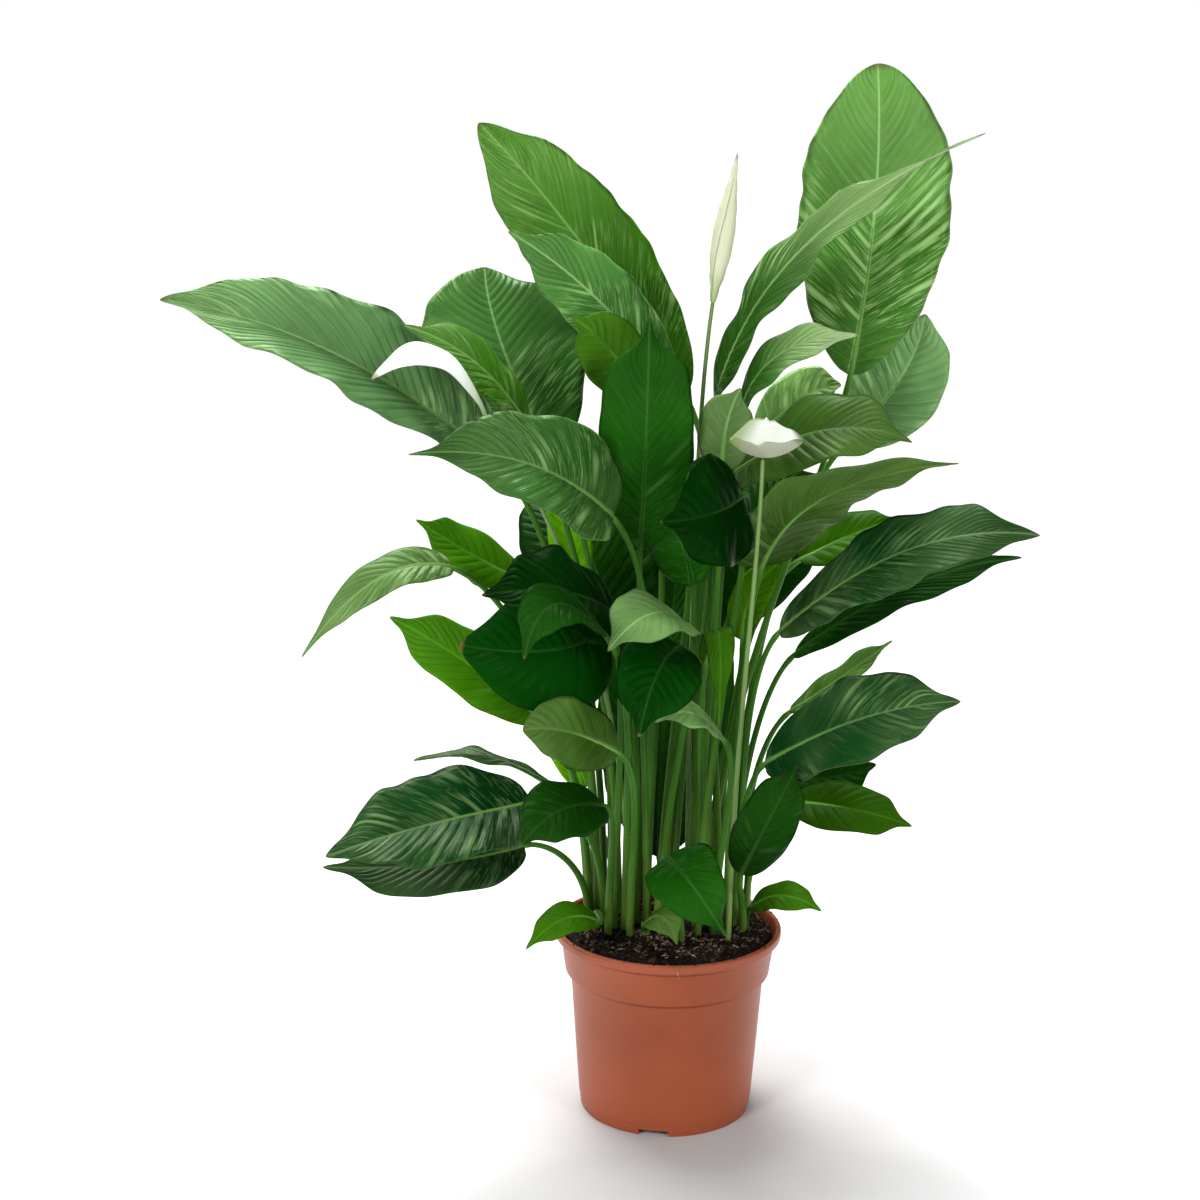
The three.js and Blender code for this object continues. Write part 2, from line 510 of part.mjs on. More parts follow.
function makeSpadix({ radius, foot, tip, rings, sides }) {
  const axis = vector(tip).sub(vector(foot));
  const knob = new THREE.CapsuleGeometry(radius, axis.length() - 2 * radius, rings, sides);
  const upright = new THREE.Vector3(0, 1, 0);
  knob.applyQuaternion(new THREE.Quaternion().setFromUnitVectors(upright, axis.clone().normalize()));
  const middle = vector(foot).addScaledVector(axis, 0.5);
  return knob.translate(middle.x, middle.y, middle.z);
}

// ---- The plant -----------------------------------------------------------------------------
addMesh('pot', makePot(), terracottaPlastic);

const blooms = [ROLLED_BLOOM, OPEN_BLOOM, LEFT_BLOOM];
addMesh('soil', makeSoil([
  ...LEAVES.map(({ root }) => ({ root, radius: STALK_FOOT_RADIUS })),
  ...blooms.map(({ root }) => ({ root, radius: BLOOM_STALK.foot })),
]), pottingSoil);

LEAVES.forEach((leaf, i) => {
  const geometry = makeLeaf({ ...USUAL, phase: i * PHASE_STEP, ...leaf });
  addMesh(leaf.name, geometry, leafGreen);
});

const rolledFoot = vector(ROLLED_BLOOM.foot);
const rolledAxis = vector(ROLLED_BLOOM.tip).sub(rolledFoot).normalize();
addMesh('bloom_rolled_stalk', makeBloomStalk(ROLLED_BLOOM.root, rolledFoot, rolledAxis), stalkGreen);
addMesh('bloom_rolled_spathe', makeRolledSpathe(ROLLED_BLOOM), spatheWhite);

const upwards = new THREE.Vector3(0, 0, 1);
addMesh('bloom_open_stalk', makeBloomStalk(OPEN_BLOOM.root, vector(OPEN_BLOOM.top), upwards), stalkGreen);
addMesh('bloom_open_spathe', makeOpenSpathe(OPEN_BLOOM), spatheWhite);
addMesh('bloom_open_spadix', makeSpadix(SPADIX), spadixCream);

const leftFoot = vector(LEFT_BLOOM.foot);
const leftArrival = vector(LEFT_BLOOM.belly).sub(leftFoot).normalize();
addMesh('bloom_left_stalk', makeBloomStalk(LEFT_BLOOM.root, leftFoot, leftArrival), stalkGreen);
addMesh('bloom_left_spathe', makeOpenSpathe(LEFT_BLOOM), spatheWhite);

export default plant;
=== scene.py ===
import math
import random

import bmesh
import bpy
from mathutils import Matrix, Vector, noise


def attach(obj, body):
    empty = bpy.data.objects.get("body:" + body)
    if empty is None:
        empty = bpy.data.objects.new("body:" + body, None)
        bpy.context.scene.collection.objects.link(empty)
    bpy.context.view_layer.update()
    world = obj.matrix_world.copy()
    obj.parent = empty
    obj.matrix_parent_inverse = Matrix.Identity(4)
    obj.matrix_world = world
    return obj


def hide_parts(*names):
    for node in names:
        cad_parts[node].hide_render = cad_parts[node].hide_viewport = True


bl_info = {
    "name": "Potted Peace Lily",
    "version": (1, 0, 0),
    "blender": (4, 5, 0),
    "location": "View3D > Sidebar > Peace Lily",
    "description": "Dresses the packed peace lily: pot, soil, veined leaves, blooms and a small studio",
    "category": "Add Mesh",
}

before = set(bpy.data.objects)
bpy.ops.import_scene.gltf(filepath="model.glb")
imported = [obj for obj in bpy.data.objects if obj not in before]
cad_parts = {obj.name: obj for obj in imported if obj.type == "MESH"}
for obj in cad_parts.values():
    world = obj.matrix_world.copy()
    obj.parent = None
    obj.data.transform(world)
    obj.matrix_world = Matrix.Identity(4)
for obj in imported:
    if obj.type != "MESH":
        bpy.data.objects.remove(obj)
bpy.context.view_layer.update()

MM = 0.001
SOIL_TOP_Z = 139 * MM
TAU = 2 * math.pi


def srgb(red, green, blue):
    """A screen colour, 0 to 255, as the linear colour that the shaders take."""
    return tuple(
        part / 12.92 if part <= 0.04045 else ((part + 0.055) / 1.055) ** 2.4
        for part in (red / 255, green / 255, blue / 255)
    )


# ---- The leaves ----------------------------------------------------------------------------
# Name, tone, root on the soil, neck, belly, drip tip, width and the way the face looks, all in
# millimetres, how light the leaf is (its own tone together with painted light and shade for where
# it sits), and what else makes it its own.
LEAVES = (
    # the tall leaves
    ("tall_right", "emerald", (30, 34), (124, 30, 553),
     (137, 30, 668), (134, 15, 770), 106, (-0.1, -1, 0.15), 1,
     {"widest": 0.52, "fold": 10, "drip": 0.1}),
    ("upper_left", "spring", (4, 40), (5, 50, 534),
     (-76, 80, 645), (-146, 50, 727), 82, (-0.2, -1, 0.1), 1, {"widest": 0.45, "drip": 0.25}),
    ("upper_left_front", "sage", (-6, 28), (-7, 15, 545),
     (-59, 0, 608), (-119, -20, 654), 60, (-0.2, -0.7, 0.7), 1.5, {}),
    ("upper_left_olive", "bright", (-16, 14), (-27, -5, 538),
     (-48, -15, 573), (-73, -30, 596), 46, (-0.5, 0.8, 0.3), 1.2, {}),
    ("centre_erect", "forest", (-16, -9), (-24, -44, 436),
     (-21, -54, 523), (-20, -50, 602), 66, (0, -1, 0.1), 1.3, {"widest": 0.48, "drip": 0.85}),
    ("long_twisted", "twisted", (20, 22), (27, -10, 537),
     (82, -35, 645), (202, -45, 724), 46, (-0.5, -0.6, 0.6), 0.95,
     {"widest": 0.34, "twist": 40, "drip": 0.3, "tail": 0.13, "wave": 0.08, "waves": 3.5}),
    ("small_twisted", "twisted", (28, 14), (42, -30, 523),
     (66, -50, 573), (122, -60, 590), 34, (-0.4, -0.6, 0.7), 1.05, {"twist": 30}),
    ("centre_right", "hood", (22, 10), (32, -45, 494),
     (34, -52, 526), (43, -54, 552), 38, (-0.3, -1, 0), 0.8, {}),
    # the left side, from the top down
    ("left_arch", "sage", (-44, 42), (-85, 5, 486),
     (-128, 48, 566), (-145, 84, 623), 122, (0.2, -0.9, 0.4), 1.2,
     {"widest": 0.52, "drip": 0.1, "fullness": 1.6}),
    ("left_arch_front", "spring", (-38, 24), (-103, -25, 516),
     (-138, -45, 565), (-187, -60, 592), 52, (0.1, -0.5, 0.9), 0.85, {}),
    ("left_long", "striped", (-54, 30), (-128, -10, 491),
     (-232, -75, 574), (-345, -95, 610), 92, (0.54, -0.66, 0.5), 1,
     {"fold": 38, "widest": 0.4, "drip": 0.35}),
    ("left_pale", "sage", (-16, 8), (-43, -74, 465),
     (-100, -110, 507), (-175, -135, 515), 86, (0.1, -0.75, 0.6), 0.9,
     {"fold": 28, "widest": 0.27, "drip": 0.7}),
    ("left_lime", "lime", (-50, 48), (-71, 35, 389),
     (-79, 35, 436), (-88, 30, 471), 30, (0, -1, 0.1), 1.3, {}),
    ("left_mid", "bright", (-57, 38), (-112, 20, 399),
     (-151, 10, 422), (-187, 0, 447), 46, (0.2, -0.6, 0.8), 1.65, {}),
    ("left_drooping", "pale", (-62, 30), (-156, -45, 421),
     (-205, -70, 418), (-258, -80, 363), 30, (0, -0.7, 0.7), 0.7, {"widest": 0.36}),
    ("left_dark_upper", "dark", (-24, 0), (-40, -40, 388),
     (-76, -92, 416), (-130, -104, 415), 76, (0, -0.7, 0.7), 0.9, {}),
    ("left_dark_lower", "dark", (-40, -12), (-52, -60, 380),
     (-88, -92, 374), (-145, -104, 380), 92, (0, -0.9, 0.4), 1.9, {"drip": 0.2}),
    ("left_hanging", "forest", (-32, -14), (-46, -108, 390),
     (-78, -150, 420), (-97, -160, 385), 38, (-0.2, -0.8, 0.6), 0.9, {}),
    ("left_bright", "bright", (-60, 20), (-94, -25, 306),
     (-147, -45, 353), (-201, -45, 385), 46, (0.1, -0.8, 0.5), 1.85, {"widest": 0.46}),
    ("left_yellow", "lime", (-41, 57), (-66, 47, 232),
     (-82, 48, 278), (-104, 49, 326), 32, (0, -0.9, 0.4), 1.35, {}),
    ("left_round", "olive", (-28, -24), (-37, -90, 302),
     (-70, -120, 325), (-100, -130, 328), 48, (0, -0.9, 0.5), 1, {"drip": 0.2}),
    # the middle, hanging towards the viewer
    ("centre_hood", "hood", (-8, -14), (12, -46, 380),
     (-14, -92, 402), (-44, -114, 380), 52, (0, -0.6, 0.8), 1.1, {}),
    ("centre_dark_hanging", "dark", (-4, 0), (6, -40, 366),
     (-10, -92, 360), (-22, -106, 318), 60, (0, -1, 0.2), 1.8, {}),
    ("centre_bright_hanging", "bright", (24, -4), (24, -30, 352),
     (32, -60, 380), (33, -78, 318), 20, (0, -0.9, 0.4), 0.8, {}),
    ("centre_small", "hood", (34, -16), (38, -42, 298),
     (14, -64, 324), (-11, -85, 323), 30, (0, -0.5, 0.8), 1.5, {}),
    ("centre_green", "forest", (2, 6), (13, -22, 407),
     (5, -36, 440), (-8, -38, 464), 42, (0, -1, 0.1), 1.9, {}),
    ("centre_dark", "dark", (22, -20), (45, -60, 478),
     (24, -96, 472), (-10, -118, 470), 78, (0, -1, 0.1), 0.9, {"widest": 0.36}),
    # low on the left
    ("low_left_big", "deep", (-48, 10), (-96, -90, 264),
     (-166, -135, 261), (-230, -160, 246), 82, (0, -0.6, 0.8), 1,
     {"fold": 22, "widest": 0.36, "drip": 0.4}),
    ("low_left_front", "forest", (-44, -22), (-46, -100, 266),
     (-73, -150, 279), (-98, -165, 259), 46, (0, -0.8, 0.6), 0.75, {}),
    ("low_left_under", "deep", (-60, 10), (-105, -55, 220),
     (-167, -100, 221), (-239, -120, 224), 52, (0, -0.7, 0.7), 0.7, {}),
    ("low_left_edge", "sage", (-50, 20), (-82, -40, 258),
     (-129, -50, 284), (-183, -60, 284), 46, (0, 0.1, 1), 0.55, {}),
    ("base_left", "bright", (-55, -4), (-50, -55, 163),
     (-73, -80, 175), (-100, -95, 157), 24, (0, -0.7, 0.7), 1.15, {}),
    ("base_front", "olive", (-16, -20), (-17, -40, 156),
     (-4, -60, 170), (7, -72, 154), 24, (0, -0.7, 0.7), 1, {}),
    ("front_heart", "forest", (10, -32), (-1, -85, 224),
     (16, -105, 212), (41, -108, 175), 52, (0.2, -0.9, 0.4), 1.3, {"widest": 0.32}),
    # low on the right
    ("low_right_up", "forest", (56, -12), (52, -58, 204),
     (70, -90, 257), (88, -85, 293), 40, (0, -1, 0.2), 0.7, {}),
    ("low_right", "bright", (58, 14), (88, -10, 243),
     (130, -35, 247), (174, -45, 238), 40, (0, -0.7, 0.7), 0.75, {}),
    ("low_right_back", "forest", (60, 26), (82, 20, 248),
     (122, 10, 257), (151, 0, 270), 42, (0, -0.7, 0.7), 0.9, {}),
    ("right_lower", "deep", (50, 4), (68, -40, 281),
     (129, -95, 331), (195, -110, 349), 68, (0, -0.7, 0.7), 1.2, {}),
    ("right_edge", "olive", (54, 38), (89, 35, 299),
     (128, 30, 330), (161, 20, 359), 32, (0, -0.3, 1), 1.45, {}),
    ("base_right", "bright", (58, 0), (62, -10, 160),
     (84, -26, 176), (112, -38, 169), 25, (0, -0.6, 0.8), 1.3, {}),
    # the right side, from the middle up
    ("right_long", "deep", (52, 14), (76, -30, 376),
     (155, -95, 449), (241, -115, 465), 61, (0, -0.65, 0.75), 1, {"drip": 0.45}),
    ("right_under", "forest", (48, 26), (89, 0, 352),
     (161, -45, 413), (238, -65, 440), 48, (0, -0.5, 0.9), 0.85, {}),
    ("right_back", "bright", (38, 46), (94, 60, 410),
     (131, 60, 430), (165, 55, 444), 40, (0, -0.6, 0.8), 0.85, {}),
    ("right_hooked", "olive", (38, 12), (44, -4, 487),
     (101, -64, 526), (158, -84, 521), 70, (0, -0.7, 0.7), 0.9, {"widest": 0.34}),
    ("right_reaching", "olive", (44, 0), (62, -20, 420),
     (103, -50, 478), (191, -74, 506), 80, (-0.2, 0.6, 0.8), 1, {"widest": 0.32, "drip": 0.5}),
    ("upper_right_back", "striped", (48, 50), (127, 60, 501),
     (165, 65, 549), (177, 40, 596), 68, (0, -1, 0.2), 1.15, {"drip": 0.4}),
    ("right_light", "pale", (24, 54), (62, 84, 500),
     (96, 88, 529), (122, 84, 539), 46, (0, -0.8, 0.5), 1.1, {}),
    ("right_lime", "lime", (28, 44), (52, 44, 352),
     (58, 42, 387), (80, 32, 416), 26, (0, -1, 0.1), 0.6, {}),
    # the side away from the viewer
    ("back_left", "forest", (-20, 60), (-42, 84, 330),
     (-72, 124, 412), (-112, 182, 448), 100, (0.1, -0.8, 0.5), 0.55, {}),
    ("back_middle", "forest", (-4, 62), (-8, 76, 168),
     (-5, 100, 290), (6, 150, 425), 106, (0, -0.9, 0.3), 1, {"widest": 0.5}),
    ("back_right", "forest", (16, 62), (40, 92, 350),
     (74, 132, 425), (116, 186, 455), 92, (0, -0.8, 0.5), 0.55, {}),
)

USUAL = {
    "fullness": 1.25, "widest": 0.44, "fold": 16, "droop": 0.25, "wave": 0.035, "waves": 2.5,
    "twist": 0, "drip": 0.6, "tail": 0, "crease": 0.06,
}
PHASE_STEP = 2.4
SEED_STEP = 3.7
FEWEST_VEINS = 7
MARGIN_LAG = 2.0
DRIP_START = 0.76
DRIP_END = 0.93
TIP_HALF_WIDTH = 0.0022
BLADE_THICKNESS = 0.8 * MM
STALK_FOOT_RADIUS = 3.1 * MM
STALK_NECK_RADIUS = 1.8 * MM
STALK_START_Z = 141 * MM
STALK_BURIED_Z = 124 * MM
STALK_RISE = 0.4
STALK_BEND = 0.2
BELLY_PLACE = 0.47

# How far along a leaf's tube it leaves the soil and meets the blade, and a bloom's stalk ends.
BURIED_SHARE = 0.04
STALK_SHARE = 0.7
STEM_SHARE = 0.995
RIB_REACH = 0.8
RIB_OFFSET = 1.1 * MM
RIB_SINK_RATE = 6
RIB_TAPER = 0.8
KNUCKLE = {"swell": 0.22, "place": 0.95, "length": 0.035}

# The pale green that the painted highlight streaks, glint lines, sheen and margin highlight are mixed
# towards; the paler tip and the midrib take it too.
PALE_AND_GLINT_GREEN = (0.46, 0.7, 0.27)
PALE_AND_GLINT_SHARE = 0.66
# For each tone of leaf: how strongly it carries painted highlight streaks and painted shade
# streaks along its veins, which also sets how glossy it is, how far it pales towards the tip,
# and how much painted sheen lies over it in broad patches.
TONES = {
    "spring": (0.6, 0.25, 0.0), "bright": (0.05, 0.25, 0.0), "emerald": (0.95, 0.2, 0.0),
    "forest": (0.06, 0.2, 0.0), "deep": (0.38, 0.15, 0.26), "dark": (0.03, 0.0, 0.0),
    "striped": (0.8, 0.2, 0.1), "sage": (0.6, 0.15, 0.1), "pale": (0.8, 0.2, 0.1),
    "hood": (0.15, 0.0, 0.0), "twisted": (0.8, 0.9, 0.0), "lime": (0.08, 0.1, 0.0),
    "olive": (0.2, 0.45, 0.05),
}
# Tones whose stalks and ribs take the darker stalk colour; on the dark leaves this carries their painted
# shade.
DARK_STALKED = ("dark", "forest")
SHEEN_TINT = (*srgb(190, 230, 160), 1.0)
GREY_TIP = srgb(182, 186, 160)
BROWN_TIP = srgb(92, 80, 48)

# ---- Sizes that the look is built from -----------------------------------------------------
VEIN_SWEEP = 1.05
VEIN_ARCH = 1.2
VEIN_ROWS = 8
LEAF_COLUMNS = 26
SMALL_LEAF_COLUMNS = 18
SMALL_LEAF_WIDTH = 45
COLUMN_POWER = 1.4
MARGIN_TAPER = 8
END_TAPER = 0.02
RIDGE_HALF_WIDTH = 1.9 * MM
GROOVE_HALF_WIDTH = 1.5 * MM
GROOVE_DEPTH = 0.35 * MM
FRILL_LENGTH = 34 * MM
SCALLOP = 0.022
RIB_DEPTH = 1.3 * MM
FRAME_STEPS = 60
QUILT_START = 4 * MM
SWELL_LENGTH = 0.2
SWELL_HEIGHT = 0.4

# Columns and rows of each kind of sheet and tube.
STALK_GRID = (12, 48)
STEM_GRID = (12, 60)
SPATHE_GRID = (40, 64)
ROLL_GRID = (72, 90)
SOIL_GRID = (220, 70)
WELD = 1e-6

# The pot's wall as it is turned, from the middle of the underside round to the middle of the base.
POT_PROFILE = (
    (0, 0), (13, 0), (14, 5.4), (61.6, 5.4), (61.6, 0), (64.2, 0), (64.8, 8), (65.4, 9),
    (72.4, 105.5), (76.7, 108), (80.5, 135), (84, 135), (85, 136), (85, 141), (84, 142),
    (81.4, 142), (80.4, 140), (78.7, 134), (74.9, 109), (70.6, 106), (63.6, 7.4), (0, 7.4),
)
POT_STEPS = 144
NOTCH_COUNT = 4
NOTCH_SIZE = (22 * MM, 12 * MM, 9.2 * MM)
NOTCH_TURN = math.radians(-7)
DRAIN_COUNT = 8
DRAIN_RADIUS = 5 * MM
DRAIN_CIRCLE = 40 * MM
FOOT_RADIUS = 64.2 * MM
BASE_TOP_Z = 7.4 * MM
RIM_Z = 142 * MM
# Heights of the painted shade lines under the lip and at the step of the band.
SHADE_LINE_HEIGHTS = (133.5 * MM, 105.5 * MM)
BEVEL_ANGLE = math.radians(25)
SHARP_ANGLE = math.radians(32)

# ---- The soil ------------------------------------------------------------------------------
SOIL_RADIUS = 77.6 * MM
MOUND = {"height": 2.4 * MM, "fall": 3.2 * MM, "start": 55 * MM, "reach": 22 * MM}
SKIRT = {"lift": 0.4 * MM, "drop": 3 * MM, "start": 66 * MM, "reach": 12 * MM}
CRUMB_BATCHES = 8
CRUMB_SIZE = 5 * MM
CRUMB_MARGIN = 2 * MM
CRUMB_LIFT = 0.18
RIM_CRUMBS = 12
RIM_CRUMB_SIZE = 2.4 * MM
RIM_CRUMB_LIFT = 0.2
RIM_CRUMB_CIRCLE = (81.2, 84.3)
FIBRE_CIRCLE = 68 * MM
FIBRE_LIMIT = 74 * MM
LOOSE_FIBRE = ((6, -83, 141), (7, -85.6, 142.5), (8, -85.8, 137), (9, -85.4, 132))
LOOSE_FIBRE_RADIUS = 0.22 * MM

# ---- The blooms ----------------------------------------------------------------------------
ROLLED_BLOOM = {"root": (14, 30), "foot": (23, -20, 606), "tip": (38, -15, 709), "radius": 7}
OPEN_BLOOM = {
    "root": (45, -28), "top": (57, -110.5, 513.8), "foot": (35, -106, 524.5), "belly": (59, -111, 514.4),
    "tip": (83, -119, 526), "width": 54, "face": (0, -0.45, 0.88), "fullness": 0.5, "widest": 0.44,
    "fold": 58, "droop": 0.16,
}
LEFT_BLOOM = {
    "root": (-30, 22), "foot": (-127, -95, 534), "belly": (-158, -112, 578),
    "tip": (-200, -125, 563), "width": 36, "face": (0, -0.35, 0.95), "fold": 20, "droop": 0.4,
}
SPADIX = {
    "radius": 2.5, "foot": (52, -112, 519), "tip": (68, -114.5, 520.6), "rows": 7, "around": 8,
    "relief": 0.07,
}
SPATHE_RELIEF = {"veins": 8, "length": 70 * MM, "frill": 0.01, "depth": 0.0}
BLOOM_STALK_FOOT = 2.1 * MM
BLOOM_STALK_NECK = 1.3 * MM
ROLL_GIRTH = (
    (0, 0.24), (0.1, 0.4), (0.2, 0.7), (0.34, 0.96), (0.48, 1),
    (0.62, 0.84), (0.75, 0.56), (0.88, 0.28), (1, 0.06),
)
ROLL_OVERLAP = 0.16
ROLL_TURNS = 1.12
ROLL_THICKNESS = 0.8 * MM
ROLL_SEAT = 9 * MM
STEM_GAP = 0.3 * MM
# How much dimmer and yellower the spathes' under faces are: painted shade.
BACK_SHADE = (0.42, 0.43, 0.33)

# ---- The camera and the floor --------------------------------------------------------------
CAMERA_PLACE = (0, -1.488, 0.723)
CAMERA_PITCH = math.radians(-12.61)
CAMERA_YAW = math.radians(-2.06)
CAMERA_ROLL = math.radians(0.62)
CAMERA_LENS = 63
SENSOR_WIDTH = 36
FLOOR_SIZE = 40.0
LAMP_TARGET = (0, 0, 0.4)
# Name, place, size and share of the lamps' power.
LAMPS = (
    ("left_lamp", (-1.2, -1.7, 1.3), 0.5, 1.0), ("right_lamp", (1.4, -1.4, 1.1), 0.6, 0.6),
    ("top_lamp", (-0.2, 0.4, 1.9), 0.7, 1.0),
)


# ---- What a user may change ----------------------------------------------------------------
def colour_property(label, what, default):
    return bpy.props.FloatVectorProperty(
        name=label, description=what, subtype="COLOR", size=3, min=0, max=1, default=default
    )


def share_property(label, what, default, high=1.0):
    return bpy.props.FloatProperty(
        name=label, description=what, subtype="FACTOR", min=0, max=high, default=default
    )


def length_property(label, what, default, high, low=0.0):
    return bpy.props.FloatProperty(
        name=label, description=what, subtype="DISTANCE", unit="LENGTH", min=low, max=high, default=default
    )


def count_property(label, what, default, high):
    return bpy.props.IntProperty(name=label, description=what, min=0, max=high, default=default)


class LILY_PotLook(bpy.types.PropertyGroup):
    plastic: colour_property("Plastic", "Colour of the pot's plastic", srgb(150, 74, 44))
    roughness: share_property("Roughness", "How matt the plastic is", 0.42)
    edge: length_property("Edge rounding", "Rounding of the pot's moulded edges", 0.0006, 0.002)


class LILY_SoilLook(bpy.types.PropertyGroup):
    peat: colour_property("Peat", "Colour of the damp peat", srgb(20, 13, 10))
    fibre: colour_property("Fibre", "Colour of the coarse fibres", srgb(152, 128, 104))
    roughness: length_property("Unevenness", "How far the soil's surface rises and falls", 0.0044, 0.006)
    crumbs: count_property("Crumbs", "How many loose crumbs lie on the soil", 2600, 4000)
    fibres: count_property("Fibres", "How many fibres lie on the soil", 110, 600)


class LILY_LeafLook(bpy.types.PropertyGroup):
    spring: colour_property("Spring", "Yellow-green leaves", srgb(57, 115, 11))
    bright: colour_property("Bright", "Bright green leaves", srgb(51, 99, 6))
    emerald: colour_property("Emerald", "The tall leaf on the right", srgb(66, 123, 36))
    forest: colour_property("Forest", "Plain dark green leaves", srgb(18, 68, 6))
    deep: colour_property("Deep", "Deep bluish-green leaves", srgb(8, 59, 19))
    # The dark tone is a deep green darkened for the shade that the leaves in the middle sit in: painted
    # shade.
    dark: colour_property("Dark", "The darkest leaves, in the middle", srgb(3, 42, 3))
    # The pale stripes of these leaves are painted highlights along the veins, laid on by their tone.
    striped: colour_property("Striped", "Leaves with strong pale stripes", srgb(86, 131, 76))
    sage: colour_property("Sage", "Leaves with a grey bloom", srgb(42, 92, 29))
    pale: colour_property("Pale", "Pale leaves", srgb(96, 139, 68))
    # The hood tone is paler and greyer than the leaves' own green, for the sheen that these faces catch:
    # painted sheen.
    hood: colour_property("Hood", "Pale faces turned to the viewer in the middle", srgb(104, 142, 79))
    twisted: colour_property("Twisted", "The twisted leaves, which pale to the tip", srgb(40, 90, 18))
    lime: colour_property("Lime", "Leaves that the light comes through", srgb(89, 156, 4))
    olive: colour_property("Olive", "Olive leaves", srgb(58, 94, 27))
    gloss: share_property("Roughness", "Roughness of the leaves' upper faces", 0.3)
    vein_spacing: length_property(
        "Vein spacing", "Distance between side veins along the midrib", 0.0082, 0.015, 0.003
    )
    vein_depth: length_property(
        "Vein depth", "How deep the side veins are drawn in between the quilts", 0.0011, 0.002
    )
    frill: share_property("Frill", "Fine ripple of the margins, as a share of the leaf's width", 0.024, 0.08)


class LILY_BloomLook(bpy.types.PropertyGroup):
    spathe: colour_property("Spathe", "Colour of the white spathes", srgb(228, 231, 229))
    young_spathe: colour_property("Young spathe", "Colour of the rolled spathe", srgb(206, 210, 180))
    spathe_foot: colour_property("Spathe foot", "Green that the spathe starts from", srgb(132, 158, 78))
    spadix: colour_property("Spadix", "Colour of the spadix", srgb(224, 208, 150))
    stalk: colour_property("Stalk", "Colour of the bloom stalks", srgb(110, 138, 80))


class LILY_StudioLook(bpy.types.PropertyGroup):
    floor: colour_property("Floor", "Colour of the studio floor", (0.97, 0.97, 0.97))
    key: bpy.props.FloatProperty(
        name="Key light", description="Strength of the broad soft light from above", min=0, default=2.9
    )
    side: bpy.props.FloatProperty(
        name="Lamps", description="Power of the left and top lamps, and the right one has a share of it",
        unit="POWER", min=0, default=20,
    )
    sky: bpy.props.FloatProperty(
        name="Surround", description="Strength of the white surround", min=0, default=0.36
    )


# ---- Shader helpers ------------------------------------------------------------------------
def feed(tree, socket, value):
    """Links another node's output to the socket, or sets a number or a colour on it."""
    if isinstance(value, bpy.types.NodeSocket):
        tree.links.new(value, socket)
    else:
        socket.default_value = value


def node(tree, kind, sockets=(), **settings):
    """Adds a shader node with its settings, and feeds its sockets."""
    made = tree.nodes.new(kind)
    for name, value in settings.items():
        setattr(made, name, value)
    for name, value in dict(sockets).items():
        feed(tree, made.inputs[name], value)
    return made


def rgba(colour, share=1.0):
    return tuple(min(1.0, part * share) for part in colour) + (1.0,)


def maths(tree, operation, *values):
    return node(tree, "ShaderNodeMath", enumerate(values), operation=operation).outputs[0]


def times(tree, first, second):
    return maths(tree, "MULTIPLY", first, second)


def parts(tree, vector):
    return node(tree, "ShaderNodeSeparateXYZ", {0: vector}).outputs


def joined(tree, *values):
    return node(tree, "ShaderNodeCombineXYZ", enumerate(values)).outputs[0]


def attribute(tree, name, output="Vector"):
    return node(tree, "ShaderNodeAttribute", attribute_name=name).outputs[output]


def object_place(tree):
    return node(tree, "ShaderNodeTexCoord").outputs["Object"]


def fade(tree, value, start, end, high=1.0, low=0.0):
    """Goes smoothly from high at start to low at end."""
    sockets = {"Value": value, "From Min": start, "From Max": end, "To Min": high, "To Max": low}
    return node(tree, "ShaderNodeMapRange", sockets, interpolation_type="SMOOTHSTEP").outputs[0]


def mixed(tree, share, first, second):
    sockets = {0: share, 6: first, 7: second}
    return node(tree, "ShaderNodeMix", sockets, data_type="RGBA", clamp_factor=True).outputs[2]


def layered(tree, colour, *layers):
    """Lays each colour over those before it, as strongly as its share says."""
    for share, layer in layers:
        colour = mixed(tree, share, colour, layer)
    return colour


def clouded(tree, cloud, colour, light, dark, start=0.3, end=0.7):
    """A colour that is lighter where the cloud is high and darker where it is low."""
    return mixed(tree, fade(tree, cloud, start, end), rgba(colour, light), rgba(colour, dark))


def mottle(tree, scale, detail=3.0, place=None, rough=0.55):
    """Cloudy variation, from 0 to 1, fixed to the object."""
    place = place or object_place(tree)
    sockets = {"Vector": place, "Scale": scale, "Detail": detail, "Roughness": rough}
    return node(tree, "ShaderNodeTexNoise", sockets).outputs["Fac"]


def new_material(name):
    material = bpy.data.materials.new(name)
    material.use_nodes = True
    shader = material.node_tree.nodes["Principled BSDF"]
    return material, material.node_tree, shader


def finish_surface(tree, shader, colour, roughness, height=None, strength=0.2, reach=0.0005,
                   specular=0.5, tint=(1, 1, 1, 1)):
    """Feeds the shader, with a bump of the given height where there is one."""
    sockets = {
        "Base Color": colour, "Roughness": roughness, "Specular IOR Level": specular, "Specular Tint": tint,
    }
    for name, value in sockets.items():
        feed(tree, shader.inputs[name], value)
    if height is not None:
        bump = node(tree, "ShaderNodeBump", {"Height": height, "Strength": strength, "Distance": reach})
        tree.links.new(bump.outputs[0], shader.inputs["Normal"])


